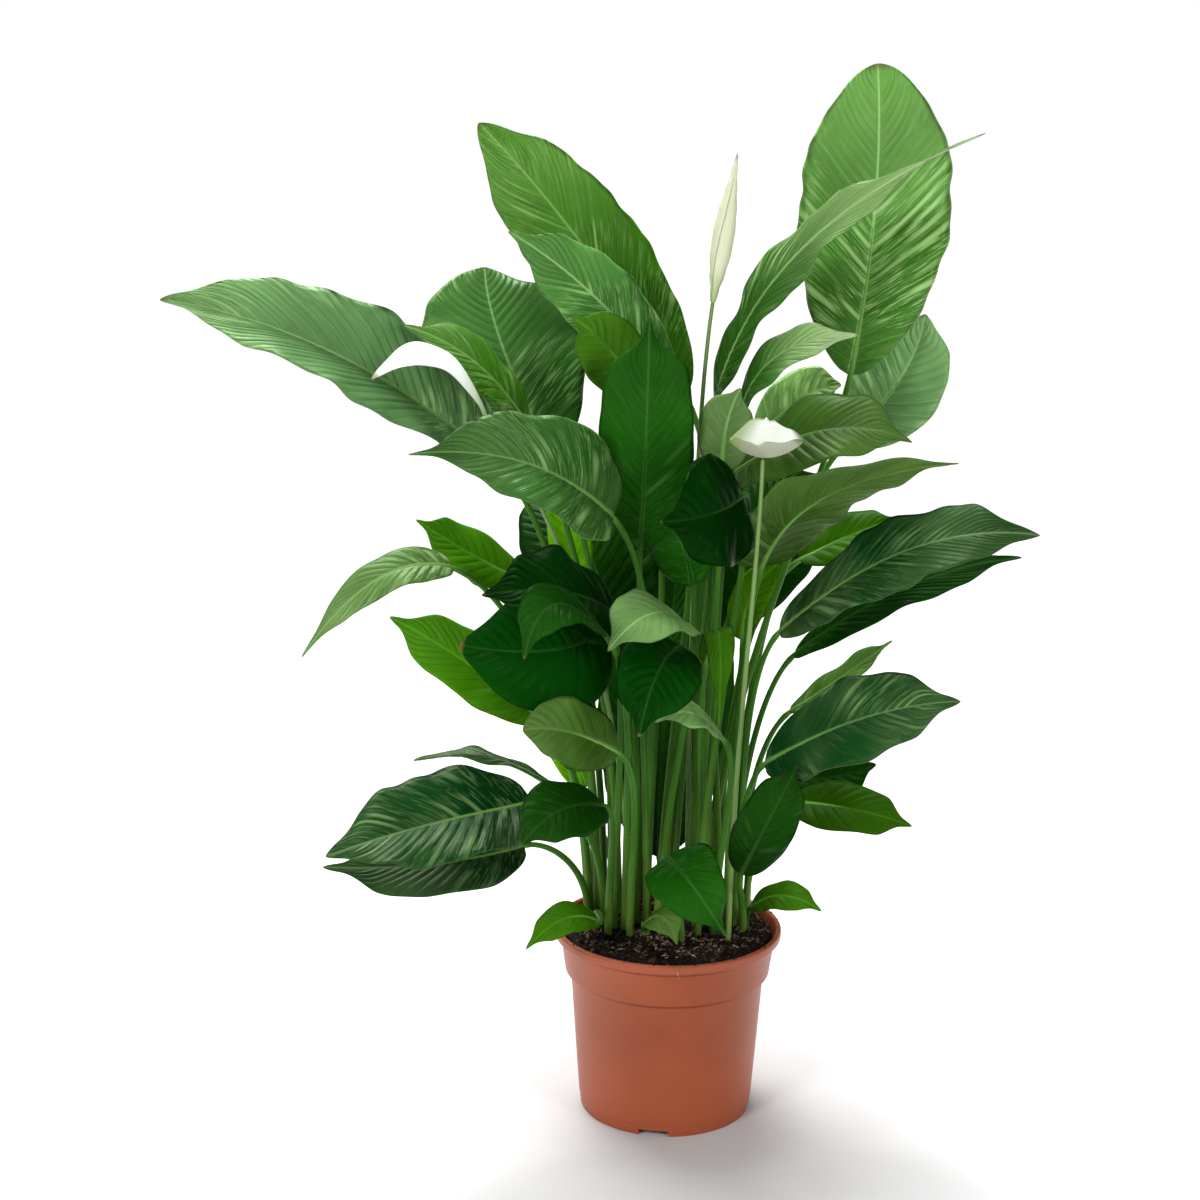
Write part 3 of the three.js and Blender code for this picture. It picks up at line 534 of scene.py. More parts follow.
def leaf_surface(name, colour, pale_and_glint, roughness, glint_and_gloss, pale_tip, painted_sheen):
    """A leaf's face: painted highlight streaks and glint lines on the quilts between the side veins,
    with painted shade streaks between them, painted shade towards the base, painted sheen in
    broad patches, a painted highlight along the margin, and a paler midrib.
    """
    material, tree, shader = new_material(name)
    across, vein, along = parts(tree, attribute(tree, "leaf_map"))
    span = attribute(tree, "leaf_span", "Fac")
    shade, seed, _ = parts(tree, attribute(tree, "leaf_own"))
    from_vein = times(tree, maths(tree, "PINGPONG", vein, 0.5), 2.0)
    from_fine = maths(tree, "PINGPONG", times(tree, vein, 5.0), 0.5)
    drift = times(tree, across, 0.45)
    side = maths(tree, "MULTIPLY_ADD", maths(tree, "SIGN", across), 1.7, seed)
    flow = joined(tree, vein, drift, seed)
    quilted = joined(tree, times(tree, maths(tree, "FLOOR", vein), 0.37), drift, side)
    streak = mottle(tree, 3.0, 2.0, flow, 0.5)
    sheen = mottle(tree, 2.4, 1.0, quilted, 0.5)
    hair = mottle(tree, 7.0, 2.0, flow, 0.6)
    patch = fade(tree, mottle(tree, 13.0, 1.0), 0.44, 0.56, 0.12, 1.0)
    crest = fade(tree, from_vein, 0.3, 0.9, 0.0, 1.0)
    bar = 0.56 - 0.14 * glint_and_gloss
    # Painted highlights: pale streaks on the crests of the quilts and fine pale glint lines along the veins,
    # standing in for the light that the quilts catch.
    painted_highlight = times(tree, times(tree, fade(tree, sheen, bar, bar + 0.2, 0.0, 1.0), patch), crest)
    painted_glint_lines = times(tree, fade(tree, hair, 0.52, 0.63, 0.0, 0.3 + 0.4 * glint_and_gloss), patch)
    # Painted shade: darker streaks standing in for the shaded sides of the quilts.
    dark = times(tree, fade(tree, streak, 0.46, 0.38, 0.0, 0.15 + 0.5 * glint_and_gloss), patch)
    rib_reach = times(tree, span, maths(tree, "MULTIPLY_ADD", along, 1.6, 0.6))
    rib = [max(part * 1.7, pale) for part, pale in zip(colour, pale_and_glint)]
    green = layered(
        tree, clouded(tree, mottle(tree, 20.0, 3.0), colour, 1.15, 0.75),
        # Painted shade: darker towards the base, where the other leaves shade the blade.
        (fade(tree, along, 0.0, 0.6, 0.6, 0.0), rgba(colour, 0.35)),
        (fade(tree, along, 0.35, 0.82, 0.0, pale_tip), rgba(pale_and_glint)),
        # Painted sheen: broad pale patches standing in for the sheen of the light on the blade.
        (fade(tree, mottle(tree, 16.0, 1.0, rough=0.4), 0.4, 0.62, 0.0, painted_sheen), rgba(pale_and_glint, 0.8)),
        # Painted shade streaks, then painted highlight streaks and glint lines.
        (dark, rgba(colour, 0.35)),
        (painted_highlight, rgba(pale_and_glint)),
        (painted_glint_lines, rgba(pale_and_glint)),
        (fade(tree, from_vein, 0.0, 0.2, 0.12 + 0.25 * glint_and_gloss, 0.0), rgba(colour, 1.8)),
        (fade(tree, rib_reach, 0.6, 2.0, 0.75, 0.0), rgba(rib)),
        # A painted highlight: a thin pale line along the margin, where the edge catches the light.
        (fade(tree, maths(tree, "ABSOLUTE", across), 0.965, 1.0, 0.0, 0.5), rgba(pale_and_glint, 1.1)),
        (fade(tree, along, 0.74, 0.92, 0.0, max(0.0, pale_tip - 0.5)), rgba(GREY_TIP)),
        (fade(tree, along, 0.97, 0.995, 0.0, 0.7), rgba(BROWN_TIP)),
    )
    # The leaf's own lightness scales its whole colour; it holds both the leaf's own tone and painted light
    # and shade for where the leaf sits.
    whole = node(tree, "ShaderNodeVectorMath", {0: green, "Scale": shade}, operation="SCALE").outputs[0]
    matt = maths(tree, "MULTIPLY_ADD", mottle(tree, 700.0, 2.0), 0.16, roughness - 0.08)
    height = maths(tree, "ADD", times(tree, from_fine, 0.5), maths(tree, "ADD", hair, streak))
    finish_surface(tree, shader, whole, matt, height, 0.45, 0.0006, 0.02 + 0.33 * glint_and_gloss, SHEEN_TINT)
    return material


def stalk_surface(name, colour, rib=(0, 0, 0), start=0.0, end=0.0):
    """A stalk: lengthwise streaks, paler towards the soil, and the rib's colour below the blade."""
    material, tree, shader = new_material(name)
    around, _, along = parts(tree, attribute(tree, "leaf_map"))
    streak = mottle(tree, 3.0, 3.0, joined(tree, times(tree, around, 6.0), along))
    below_blade = fade(tree, along, 0.66, 0.74, 0.0, 1.0)
    green = layered(
        tree, clouded(tree, streak, colour, 1.3, 0.62),
        (fade(tree, along, 0.04, 0.3, 0.35, 0.0), rgba(srgb(128, 158, 66))),
        (times(tree, below_blade, fade(tree, along, 0.76, 0.96, start, end)), rgba(rib)),
    )
    finish_surface(tree, shader, green, 0.45, streak, 0.25, 0.0004, 0.12, SHEEN_TINT)
    return material


def spathe_surface(name, colour, foot):
    """A spathe: white with faint lengthwise veins, green at its foot and browned at its tip."""
    material, tree, shader = new_material(name)
    across, _, along = parts(tree, attribute(tree, "leaf_map"))
    vein = maths(tree, "PINGPONG", times(tree, across, 9.0), 0.5)
    white = layered(
        tree, mixed(tree, times(tree, vein, 0.1), rgba(colour), rgba(foot)),
        (fade(tree, along, 0.0, 0.3, 0.8, 0.0), rgba(foot)),
        (times(tree, mottle(tree, 60.0), 0.06), rgba(foot, 1.05)),
        (fade(tree, along, 0.93, 0.985, 0.0, 0.8), rgba(srgb(96, 98, 62))),
    )
    finish_surface(tree, shader, white, 0.48, vein, 0.2, 0.0004)
    shader.inputs["Subsurface Weight"].default_value = 0.15
    shader.inputs["Subsurface Radius"].default_value = (0.004, 0.004, 0.002)
    return material


def plastic_surface(name, colour, roughness):
    """Moulded plastic: a soft sheen, a faint cloud, a little dust of soil below the lip, painted
    light that makes it lighter towards the foot, and painted shade lines under the lip and at the step.
    """
    material, tree, shader = new_material(name)
    place = object_place(tree)
    height = parts(tree, place)[2]
    speck = mottle(tree, 900.0, 2.0, place)
    near_lip = fade(tree, height, 0.1, RIM_Z, 0.0, 1.0)
    plastic = layered(
        tree, clouded(tree, mottle(tree, 14.0, 4.0, place), colour, 1.08, 0.9),
        # Painted light: the plastic is lighter towards the foot, where less light reaches it.
        (fade(tree, height, 0.0, 0.09, 0.6, 0.0), rgba(colour, 1.6)),
        (times(tree, fade(tree, speck, 0.6, 0.75, 0.0, 0.5), near_lip), rgba(srgb(96, 62, 44))),
    )
    # Painted shade: dark lines under the lip and at the step, where the overhangs shade the wall.
    for edge in SHADE_LINE_HEIGHTS:
        near = maths(tree, "ABSOLUTE", maths(tree, "SUBTRACT", height, edge))
        plastic = mixed(tree, fade(tree, near, 0.0004, 0.0015, 0.55, 0.0), plastic, rgba(colour, 0.4))
    matt = maths(tree, "MULTIPLY_ADD", speck, 0.12, roughness - 0.06)
    finish_surface(tree, shader, plastic, matt, speck, 0.08, 0.0003, 0.3)
    return material


def soil_surface(name, colour, fibre):
    """Damp peat: dark crumbs with lighter bits; leaf_span makes a whole crumb lighter."""
    material, tree, shader = new_material(name)
    place = object_place(tree)
    crumb = mottle(tree, 260.0, 5.0, place, 0.7)
    patch = mottle(tree, 60.0, 3.0, place)
    peat = layered(
        tree, clouded(tree, crumb, colour, 2.6, 0.4, 0.35, 0.65),
        (attribute(tree, "leaf_span", "Fac"), rgba(fibre)),
        (times(tree, fade(tree, crumb, 0.62, 0.7, 0.0, 0.5), patch), rgba(fibre)),
    )
    finish_surface(tree, shader, peat, 0.8, crumb, 0.8, 0.0015, 0.12)
    return material


# ---- Shape helpers -------------------------------------------------------------------------
def bezier(points, t):
    """The place and the direction at t on a Bezier curve."""
    level = list(points)
    while len(level) > 2:
        level = [a.lerp(b, t) for a, b in zip(level, level[1:])]
    return level[0].lerp(level[1], t), (level[1] - level[0]).normalized()


def in_metres(place):
    return Vector(place) * MM


def polar(out, turn):
    return out * math.cos(turn), out * math.sin(turn)


def blade_points(neck, belly, tip):
    """Control points of the midrib, which passes through the belly halfway along."""
    return [neck, belly * 2 - (neck + tip) / 2, tip]


def stalk_points(root, neck, arrival):
    """Control points of a stalk: it leaves the soil upright and swings into the blade's line."""
    foot = Vector((root[0] * MM, root[1] * MM, STALK_START_Z))
    reach = (neck - foot).length
    return [foot, foot + Vector((0, 0, reach * STALK_RISE)), neck - arrival * (reach * STALK_BEND), neck]


class Course:
    """A curve with the way its upper face looks, carried along both ways from its start."""

    def __init__(self, points, face, start, twist=0.0):
        self.steps = FRAME_STEPS
        spots = [bezier(points, i / self.steps) for i in range(self.steps + 1)]
        self.places = [spot[0] for spot in spots]
        self.ways = [spot[1] for spot in spots]
        begin = round(start * self.steps)
        normals = [None] * (self.steps + 1)
        normals[begin] = self.level(Vector(face), begin)
        for i in range(begin + 1, self.steps + 1):
            normals[i] = self.level(normals[i - 1], i)
        for i in range(begin - 1, -1, -1):
            normals[i] = self.level(normals[i + 1], i)
        self.ups = [
            Matrix.Rotation(twist * (i / self.steps - 0.5), 3, way) @ normal
            for i, (way, normal) in enumerate(zip(self.ways, normals))
        ]

    def level(self, normal, i):
        way = self.ways[i]
        return (normal - way * normal.dot(way)).normalized()

    def at(self, t):
        """Place, side, up and direction at t."""
        spot = min(max(t, 0.0), 1.0) * self.steps
        i = min(int(spot), self.steps - 1)
        rest = spot - i
        up = self.ups[i].lerp(self.ups[i + 1], rest).normalized()
        way = self.ways[i].lerp(self.ways[i + 1], rest).normalized()
        return self.places[i].lerp(self.places[i + 1], rest), way.cross(up), up, way


def smooth_step(low, high, value):
    share = min(1.0, max(0.0, (value - low) / (high - low)))
    return share * share * (3 - 2 * share)


def outline(t, leaf):
    """Half the blade's width along the midrib: a full oval that draws in to a narrow drip tip."""
    along = min(1.0, t / (1 - leaf["tail"]))
    towards_neck = leaf["fullness"] * leaf["widest"]
    towards_tip = leaf["fullness"] * (1 - leaf["widest"])
    broadest = leaf["widest"] ** towards_neck * (1 - leaf["widest"]) ** towards_tip
    drawn_in = 1 - leaf["drip"] * smooth_step(DRIP_START, DRIP_END, along)
    return along ** towards_neck * (1 - along) ** towards_tip * drawn_in / broadest


def start_mesh():
    bm = bmesh.new()
    bm.verts.layers.float_vector.new("leaf_map")
    bm.verts.layers.float.new("leaf_span")
    return bm


def add_grid(bm, columns, rows, slot):
    """Adds a flat grid of smooth faces, still to be shaped."""
    verts = bmesh.ops.create_grid(bm, x_segments=columns, y_segments=rows, size=1.0)["verts"]
    faces = list({face for vert in verts for face in vert.link_faces})
    for face in faces:
        face.material_index = slot
        face.smooth = True
    return verts, faces


def add_sheet(bm, columns, rows, place, slots=(0, 1)):
    """Adds a closed sheet: two grids, shaped by place(across, along, upper) and welded at the rim."""
    leaf_map = bm.verts.layers.float_vector["leaf_map"]
    leaf_span = bm.verts.layers.float["leaf_span"]
    shaped = []
    for upper, slot in zip((True, False), slots):
        grid, faces = add_grid(bm, columns, rows, slot)
        if not upper:
            bmesh.ops.reverse_faces(bm, faces=faces)
        for vert in grid:
            vert.co, vert[leaf_map], vert[leaf_span] = place(vert.co.x, (vert.co.y + 1) / 2, upper)
        shaped += grid
    bmesh.ops.remove_doubles(bm, verts=shaped, dist=WELD)


def add_tube(bm, sides, rows, course, radius, slot=0):
    """Adds a closed tube along course(s), which gives place, side and up; radius(s) is its size."""
    leaf_map = bm.verts.layers.float_vector["leaf_map"]
    grid, _ = add_grid(bm, sides, rows, slot)
    for vert in grid:
        s = (vert.co.y + 1) / 2
        angle = -math.pi * vert.co.x
        spot, side, up = course(s)
        thick = 0.0 if s in (0.0, 1.0) else radius(s)
        vert.co = spot + (side * math.cos(angle) + up * math.sin(angle)) * thick
        vert[leaf_map] = (math.sin(angle), math.cos(angle), s)
    bmesh.ops.remove_doubles(bm, verts=grid, dist=WELD)


def add_object(name, data):
    made = bpy.data.objects.new(name, data)
    bpy.context.scene.collection.objects.link(made)
    return made


def add_mesh(bm, name, materials=()):
    """Makes the mesh an object with the materials given."""
    mesh = bpy.data.meshes.new(name)
    bm.to_mesh(mesh)
    bm.free()
    for material in materials:
        mesh.materials.append(material)
    return add_object(name, mesh)


def finish_piece(bm, name, materials, slot, *nodes, own=(1.0, 0.0, 0.0)):
    """Makes the mesh an object that rides with the plant and stands for the CAD nodes given."""
    piece = add_mesh(bm, name, materials)
    shades = piece.data.attributes.new("leaf_own", "FLOAT_VECTOR", "POINT")
    shades.data.foreach_set("vector", own * len(piece.data.vertices))
    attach(piece, "root")
    if nodes:
        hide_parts(*nodes)
    return piece


def blade_place(leaf, course, relief, rng):
    """The blade's shape as a function of where a point is across, along and on which face."""
    half = leaf["width"] * MM / 2
    fold = math.radians(leaf["fold"])
    wave = leaf["wave"] * leaf["width"] * MM
    frill = relief["frill"] * leaf["width"] * MM
    frill *= rng.uniform(0.4, 1.2)
    turns = relief["length"] / FRILL_LENGTH * rng.uniform(0.75, 1.1)
    starts = (rng.uniform(0, TAU), rng.uniform(0, TAU))
    veins = relief["veins"]
    bulge = [[rng.uniform(0.45, 1.3) for _ in range(veins + 1)] for _ in range(2)]

    def place(across, along, upper):
        u = math.copysign(abs(across) ** COLUMN_POWER, across)
        t = 1 - (1 - along) ** (1 + VEIN_SWEEP * abs(u) ** VEIN_ARCH)
        spot, side, up, _ = course.at(t)
        half_width = half * outline(t, leaf) + TIP_HALF_WIDTH * math.sqrt(1 - t)
        span = half_width * abs(u)
        swing = math.sqrt(max(0.0, math.sin(math.pi * t)))
        ends = min(1.0, along / END_TAPER, (1 - along) / END_TAPER)
        turn = TAU * leaf["waves"] * t + leaf["phase"] + (MARGIN_LAG if u > 0 else 0)
        ripple = wave * swing * u * u * math.sin(turn)
        curl = TAU * turns * t + starts[u > 0]
        ruffle = frill * swing * abs(u) ** 3 * (math.sin(curl) + 0.6 * math.sin(0.43 * curl + 1))
        bite = math.sin(0.61 * curl + 2) + 0.5 * math.sin(1.4 * curl)
        scallop = 1 + SCALLOP * swing * abs(u) ** 3 * bite
        crease = leaf["crease"]
        bend = (math.hypot(u, crease) - crease) / (math.hypot(1, crease) - crease)
        lift = half_width * (bend * math.sin(fold) - leaf["droop"] * u * u)
        quilt = abs(math.sin(math.pi * along * veins)) ** 0.8 - 0.6
        quilt *= bulge[u > 0][min(int(along * veins), veins)]
        quilt *= relief["depth"] * min(1.0, span / QUILT_START) * (1 - abs(u) ** 6) * ends
        groove = -GROOVE_DEPTH * math.exp(-((span / GROOVE_HALF_WIDTH) ** 2)) * (1 - t) * ends
        swell = STALK_NECK_RADIUS * max(0.0, 1 - t / SWELL_LENGTH) * SWELL_HEIGHT
        height = lift + ripple + ruffle + quilt + groove + swell
        if not upper:
            ridge = RIB_DEPTH * (1 - t) * math.exp(-((span / RIDGE_HALF_WIDTH) ** 2))
            height -= (BLADE_THICKNESS + ridge) * (1 - abs(u) ** MARGIN_TAPER) * ends
        spot = spot + side * (half_width * scallop * u * math.cos(fold)) + up * height
        return spot, (u, along * veins, t), span / MM

    return place


def leaf_course(leaf, neck, belly, tip):
    return Course(blade_points(neck, belly, tip), leaf["face"], BELLY_PLACE, math.radians(leaf["twist"]))


def rooted_course(root, stalk, end):
    """Follows a stalk from under the soil, so that its end is reached at the share given."""
    buried = Vector((root[0] * MM, root[1] * MM, STALK_BURIED_Z))

    def course(s):
        spot, side, up, _ = stalk.at((s - BURIED_SHARE) / (end - BURIED_SHARE))
        return (buried.lerp(spot, s / BURIED_SHARE) if s < BURIED_SHARE else spot), side, up

    return course


def stalk_course(root, neck, blade):
    """The stalk from under the soil to the neck, and then on below the blade as its midrib."""
    _, _, face, way = blade.at(0)
    lower = rooted_course(root, Course(stalk_points(root, neck, way), face, 1.0), STALK_SHARE)

    def course(s):
        if s < STALK_SHARE:
            return lower(s)
        t = (s - STALK_SHARE) / (1 - STALK_SHARE)
        spot, side, up, _ = blade.at(t * RIB_REACH)
        return spot - up * (RIB_OFFSET * min(1.0, t * RIB_SINK_RATE)), side, up

    return course


def stalk_radius(s):
    """A stalk's thickness: wider at the foot, a knuckle just below the blade, then a fine rib."""
    if s < STALK_SHARE:
        share = s / STALK_SHARE
        knuckle = KNUCKLE["swell"] * math.exp(-(((share - KNUCKLE["place"]) / KNUCKLE["length"]) ** 2))
        return (STALK_FOOT_RADIUS + (STALK_NECK_RADIUS - STALK_FOOT_RADIUS) * share) * (1 + knuckle)
    t = (s - STALK_SHARE) / (1 - STALK_SHARE)
    return STALK_NECK_RADIUS * (1 - RIB_TAPER * t)


def plain_course(points, face):
    whole = Course(points, face, 0.0)
    return lambda s: whole.at(s)[:3]


# ---- Operators -----------------------------------------------------------------------------
class LILY_OT_pot(bpy.types.Operator):
    """Turn the plastic pot, with its lip, band, foot notches and drain holes"""

    bl_idname = "lily.pot"
    bl_label = "Pot"

    def execute(self, context):
        look = context.scene.lily_pot
        bm = bmesh.new()
        verts = [bm.verts.new((radius * MM, 0, z * MM)) for radius, z in POT_PROFILE]
        edges = [bm.edges.new(pair) for pair in zip(verts, verts[1:])]
        bmesh.ops.spin(
            bm, geom=verts + edges, cent=(0, 0, 0), axis=(0, 0, 1), angle=TAU, steps=POT_STEPS,
            use_merge=True,
        )
        bmesh.ops.remove_doubles(bm, verts=bm.verts[:], dist=WELD)
        bmesh.ops.recalc_face_normals(bm, faces=bm.faces[:])
        sharp = [edge for edge in bm.edges if edge.calc_face_angle(0) > BEVEL_ANGLE]
        bmesh.ops.bevel(
            bm, geom=sharp, offset=look.edge, segments=2, affect="EDGES", profile=0.5, material=-1,
            offset_type="OFFSET", clamp_overlap=True,
        )
        for face in bm.faces:
            face.smooth = True
        plastic = plastic_surface("terracotta_plastic", look.plastic, look.roughness)
        pot = finish_piece(bm, "pot_shell", [plastic], "terracotta_plastic", "pot")
        self.cut(pot)
        pot.data.set_sharp_from_angle(angle=SHARP_ANGLE)
        return {"FINISHED"}

    def cut(self, pot):
        """Cuts the notches and the drain holes, and leaves no modifier behind."""
        bm = bmesh.new()
        for i in range(NOTCH_COUNT):
            turn = Matrix.Rotation(NOTCH_TURN + TAU * i / NOTCH_COUNT, 4, "Z")
            place = turn @ Matrix.Translation((0, -FOOT_RADIUS, 0)) @ Matrix.Diagonal((*NOTCH_SIZE, 1))
            bmesh.ops.create_cube(bm, size=1.0, matrix=place)
        for i in range(DRAIN_COUNT):
            turn = Matrix.Rotation(TAU * (i + 0.5) / DRAIN_COUNT, 4, "Z")
            place = turn @ Matrix.Translation((DRAIN_CIRCLE, 0, BASE_TOP_Z))
            bmesh.ops.create_cone(
                bm, cap_ends=True, segments=24, radius1=DRAIN_RADIUS, radius2=DRAIN_RADIUS,
                depth=2 * BASE_TOP_Z, matrix=place,
            )
        cutter = add_mesh(bm, "pot_cutters")
        modifier = pot.modifiers.new("notches", "BOOLEAN")
        modifier.object = cutter
        modifier.operation = "DIFFERENCE"
        modifier.solver = "EXACT"
        shown = pot.evaluated_get(bpy.context.evaluated_depsgraph_get())
        cut = bpy.data.meshes.new_from_object(shown)
        if len(cut.polygons) < POT_STEPS:
            raise RuntimeError("the pot's notches couldn't be cut")
        pot.modifiers.clear()
        pot.data = cut
        bpy.data.objects.remove(cutter)


def soil_height(x, y):
    """The soil's surface: a low mound, uneven, that falls a little to the wall."""
    out = math.hypot(x, y)
    mound = MOUND["height"] - MOUND["fall"] * max(0.0, (out - MOUND["start"]) / MOUND["reach"]) ** 2
    rough = bpy.context.scene.lily_soil.roughness
    swell = noise.fractal(Vector((x, y, 0)) * 45, 0.9, 2.1, 3)
    crumb = noise.fractal(Vector((x, y, 0.3)) * 230, 0.7, 2.2, 4)
    return SOIL_TOP_Z + mound + rough * (0.55 * swell + 0.4 * crumb)


class LILY_OT_soil(bpy.types.Operator):
    """Lay the uneven peat surface, its crumbs and its fibres"""

    bl_idname = "lily.soil"
    bl_label = "Soil"

    def execute(self, context):
        look = context.scene.lily_soil
        peat = soil_surface("potting_soil", look.peat, look.fibre)
        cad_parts["soil"].data.materials.clear()
        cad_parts["soil"].data.materials.append(peat)

        def place(across, along, upper):
            out = SOIL_RADIUS * along
            x, y = polar(out, -math.pi * across)
            fall = SKIRT["drop"] * max(0.0, (out - SKIRT["start"]) / SKIRT["reach"])
            below = SOIL_TOP_Z + SKIRT["lift"] - fall
            height = soil_height(x, y) if upper and along < 1 else below
            return Vector((x, y, height)), (across, along, 0), 0.0

        bm = start_mesh()
        add_sheet(bm, *SOIL_GRID, place, (0, 0))
        bmesh.ops.remove_doubles(bm, verts=bm.verts[:], dist=WELD)
        finish_piece(bm, "soil_surface", [peat], "potting_soil")

        rng = random.Random(11)
        for batch in range(CRUMB_BATCHES):
            bm = start_mesh()
            for _ in range(look.crumbs // CRUMB_BATCHES):
                size = rng.uniform(0.45, 1.0) ** 2 * CRUMB_SIZE
                out = (SOIL_RADIUS - CRUMB_MARGIN) * math.sqrt(rng.random())
                x, y = polar(out, rng.uniform(0, TAU))
                self.crumb(bm, rng, (x, y, soil_height(x, y) + size * CRUMB_LIFT), size)
            for _ in range(RIM_CRUMBS):
                size = rng.uniform(0.4, 1.0) ** 2 * RIM_CRUMB_SIZE
                turn = rng.gauss(-math.pi / 2, 1.3)
                out = rng.uniform(*RIM_CRUMB_CIRCLE) * MM
                self.crumb(bm, rng, (*polar(out, turn), RIM_Z + size * RIM_CRUMB_LIFT), size)
            finish_piece(bm, f"soil_crumbs_{batch}", [peat], "potting_soil")

        fibre = soil_surface("soil_fibre", look.fibre, look.peat)
        bm = start_mesh()
        for _ in range(look.fibres):
            out = FIBRE_CIRCLE * math.sqrt(rng.random())
            x, y = polar(out, rng.uniform(0, TAU))
            self.fibre(bm, rng, x, y, rng.uniform(2, 8) * MM)
        over_lip = plain_course([in_metres(spot) for spot in LOOSE_FIBRE], (0, -1, 0.2))
        add_tube(bm, 4, 12, over_lip, lambda s: LOOSE_FIBRE_RADIUS)
        finish_piece(bm, "soil_fibres", [fibre], "potting_soil")
        return {"FINISHED"}

    @staticmethod
    def crumb(bm, rng, spot, size):
        angle = rng.uniform(0, TAU)
        turn = Matrix.Rotation(angle, 4, Vector((rng.random(), rng.random(), rng.random() + 0.1)))
        shape = Matrix.Diagonal((size, size * rng.uniform(0.3, 0.7), size * rng.uniform(0.25, 0.5), 1))
        cluster = 0.7 + 1.6 * noise.noise(Vector((spot[0], spot[1], 0)) * 55)
        lightness = 0.85 * rng.random() ** 2 * min(1.0, max(0.1, cluster))
        leaf_span = bm.verts.layers.float["leaf_span"]
        lump = bmesh.ops.create_icosphere(
            bm, subdivisions=1, radius=0.5, matrix=Matrix.Translation(spot) @ turn @ shape
        )["verts"]
        for vert in lump:
            vert.co += Vector((rng.gauss(0, 1), rng.gauss(0, 1), rng.gauss(0, 1))) * size * 0.05
            vert[leaf_span] = lightness

    @staticmethod
    def fibre(bm, rng, x, y, length):
        way = rng.uniform(0, TAU)
        points = []
        for _ in range(4):
            points.append(Vector((x, y, soil_height(x, y) + rng.uniform(0.3, 2.2) * MM)))
            x += length / 3 * math.cos(way)
            y += length / 3 * math.sin(way)
            if math.hypot(x, y) > FIBRE_LIMIT:
                way += math.pi
            way += rng.uniform(-0.9, 0.9)
        thick = rng.uniform(0.15, 0.36) * MM
        add_tube(bm, 4, 7, plain_course(points, (0, 0.1, 1)), lambda s: thick)


class LILY_OT_leaves(bpy.types.Operator):
    """Grow every leaf on its stalk, with quilted veins, midrib and rippled margins"""

    bl_idname = "lily.leaves"
    bl_label = "Leaves"

    def execute(self, context):
        look = context.scene.lily_leaves
        surfaces = {
            tone: self.surfaces(tone, getattr(look, tone), look.gloss, *nature)
            for tone, nature in TONES.items()
        }
        stalk = stalk_surface("leaf_stalk", srgb(58, 106, 30), srgb(110, 158, 74), 0.75, 0.1)
        # The darker stalk and rib for forest and dark leaves; on the dark ones it carries their painted
        # shade.
        dark_stalk = stalk_surface("leaf_stalk_dark", srgb(52, 98, 28), srgb(24, 58, 14), 0.85, 1.0)
        for i, (name, tone, root, neck, belly, tip, width, face, shade, own) in enumerate(LEAVES):
            leaf = {**USUAL, "phase": i * PHASE_STEP, "width": width, "face": face, "shade": shade, **own}
            below = dark_stalk if tone in DARK_STALKED else stalk
            self.grow(look, name, leaf, root, (neck, belly, tip), [*surfaces[tone], below], i)
        return {"FINISHED"}

    @staticmethod
    def surfaces(tone, colour, gloss, glint_and_gloss, pale_tip, painted_sheen):
        """The upper and the under face of one tone of leaf."""
        back = [part * 0.85 + other * 0.08 for part, other in zip(colour, srgb(104, 140, 60))]
        made = []
        for end, face, rough in (("", colour, gloss), ("_under", back, min(1, gloss + 0.16))):
            pale_and_glint = [part + (pale - part) * PALE_AND_GLINT_SHARE * glint_and_gloss for part, pale in zip(face, PALE_AND_GLINT_GREEN)]
            made.append(leaf_surface("leaf_" + tone + end, face, pale_and_glint, rough, glint_and_gloss, pale_tip, painted_sheen))
        return made

    @staticmethod
    def grow(look, name, leaf, root, places, materials, seed):
        neck, belly, tip = (in_metres(place) for place in places)
        blade = leaf_course(leaf, neck, belly, tip)
        length = (belly - neck).length + (tip - belly).length
        veins = max(FEWEST_VEINS, round(length / look.vein_spacing))
        depth = look.vein_depth * min(1.0, 0.5 + leaf["width"] / 120)
        relief = {"veins": veins, "length": length, "frill": look.frill, "depth": depth}
        columns = LEAF_COLUMNS if leaf["width"] > SMALL_LEAF_WIDTH else SMALL_LEAF_COLUMNS
        bm = start_mesh()
        add_sheet(bm, columns, veins * VEIN_ROWS, blade_place(leaf, blade, relief, random.Random(seed)))
        add_tube(bm, *STALK_GRID, stalk_course(root, neck, blade), stalk_radius, 2)
        own = (leaf["shade"], seed * SEED_STEP, 0.0)
        finish_piece(bm, "lily_" + name, materials, "leaf_green", "leaf_" + name, own=own)


